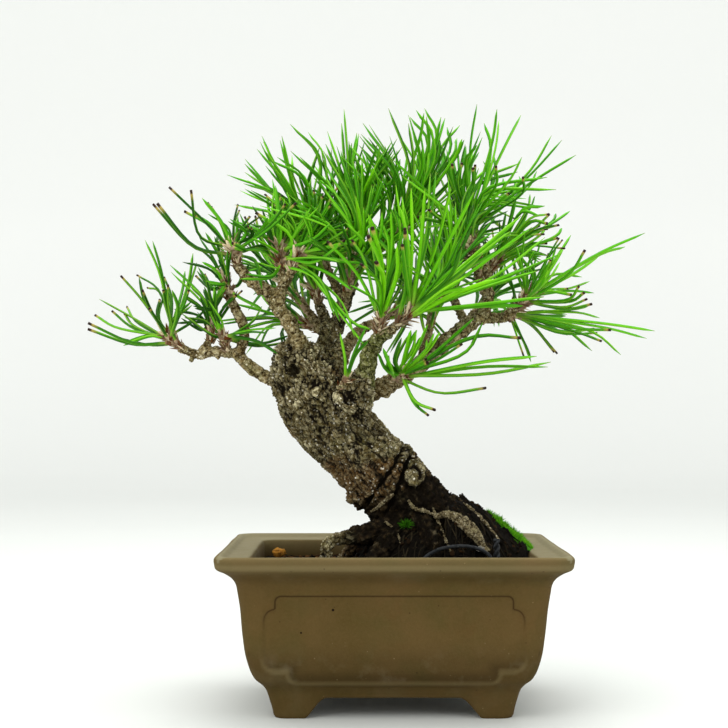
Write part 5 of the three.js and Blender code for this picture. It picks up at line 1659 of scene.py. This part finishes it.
def kept_nodes():
    """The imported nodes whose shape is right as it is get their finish."""
    finishes = {
        "drain_mesh_left": PLASTIC_MESH, "drain_mesh_right": PLASTIC_MESH,
        "mesh_clip_left": WIRE, "mesh_clip_right": WIRE, "drainage_grit": GRIT,
    }
    for name, material in finishes.items():
        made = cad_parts[name]
        made.data.materials.clear()
        made.data.materials.append(material)


# ------------------------------------------------------------------ the whole model

pot()
soil()
crumbs()
fibres()
pale_roots()
moss_cushion()
small_moss_tuft()
stone("ochre_pebble_lump", "ochre_pebble", (-46, 28, 55.0), (2.8, 2.2, 1.9), OCHRE, 1)
stone("grey_stone_lump", "grey_stone", (33, -28.6, 62), (2.0, 1.5, 1.3), GREY, 7)
trunk()
for number, (branch_name, limbs) in enumerate(BRANCHES.items()):
    branch(branch_name, limbs, BRANCH_BARKS.get(branch_name, TWIG_BARK), 10 * number + 3)
for number, (tuft_name, facts) in enumerate(TUFTS.items()):
    tuft(tuft_name, facts, number + 1)
tie_wire()
kept_nodes()


# ------------------------------------------------------------------ stage, light and camera

FLOOR_REACH, WALL_DISTANCE, WALL_CURVE, WALL_HEIGHT = 6.0, 1.6, 1.0, 5.0


def stage():
    """A pale floor that curves up into the wall behind."""
    def place(along):
        """The Y and the height at a length along the floor, the curve and the wall."""
        flat = FLOOR_REACH + WALL_DISTANCE
        arc = WALL_CURVE * math.pi / 2
        if along < flat:
            return along - FLOOR_REACH, 0.0
        if along < flat + arc:
            turn = (along - flat) / WALL_CURVE
            return (WALL_DISTANCE + WALL_CURVE * math.sin(turn),
                    WALL_CURVE * (1 - math.cos(turn)))
        return WALL_DISTANCE + WALL_CURVE, WALL_CURVE + along - flat - arc

    bm = bmesh.new()
    bmesh.ops.create_grid(bm, x_segments=2, y_segments=60, size=1)
    whole = FLOOR_REACH + WALL_DISTANCE + WALL_CURVE * math.pi / 2 + WALL_HEIGHT
    for vert in bm.verts:
        y, height = place((vert.co.y + 1) / 2 * whole)
        vert.co = Vector((vert.co.x * FLOOR_REACH, y, height))
    mesh = mesh_of(bm, "pale_floor")
    mesh.shade_smooth()
    material, tree, shader = new_material("pale_floor", Roughness=0.9)
    away = node(tree, "ShaderNodeVectorMath", {0: own_place(tree)},
                operation="LENGTH").outputs["Value"]
    shade = mixed(tree, blotches(tree, 400, 0.3, 0.7), colour("c9cbc8"), colour("cdcfcc"))
    shade = mixed(tree, ranged(tree, away, 0.3, 2.6), shade, colour("fdfdfc"))
    finished(tree, shader, shade)
    mesh.materials.append(material)
    new_object("pale_floor", mesh)


def lamp(name, place, target, size, power, tint):
    light = bpy.data.lights.new(name, "AREA")
    light.shape = "RECTANGLE"
    light.size, light.size_y = size
    light.energy = power
    light.color = tint
    made = new_object(name, light)
    made.location = place
    made.rotation_euler = (Vector(target) - Vector(place)).to_track_quat("-Z", "Y").to_euler()


def light_and_camera():
    bpy.context.scene.view_settings.view_transform = "Standard"
    world = bpy.data.worlds.new("soft_room")
    world.use_nodes = True
    background = world.node_tree.nodes["Background"].inputs
    background["Color"].default_value = colour("f5f8f5")
    background["Strength"].default_value = 1.0
    bpy.context.scene.world = world
    lamp("soft_left", (-0.55, -0.6, 0.75), (0, 0, 0.11), (0.7, 0.7), 5, (1, 0.99, 0.97))
    lamp("soft_right", (0.8, -0.5, 0.45), (0, 0, 0.12), (0.6, 0.6), 2, (0.97, 0.99, 1))
    lamp("soft_top", (0.05, 0.1, 0.95), (0, 0, 0.1), (0.8, 0.8), 9, (1, 1, 1))
    data = bpy.data.cameras.new("camera")
    data.sensor_width = SENSOR_WIDTH
    data.lens = SENSOR_WIDTH * PHOTO_FOCAL / PHOTO_SIDE
    camera = new_object("camera", data)
    camera.location = POT_MIDDLE + CAMERA_PLACE * MM
    camera.rotation_euler = (math.pi / 2 + CAMERA_TILT, 0, 0)
    bpy.context.scene.camera = camera


stage()
light_and_camera()
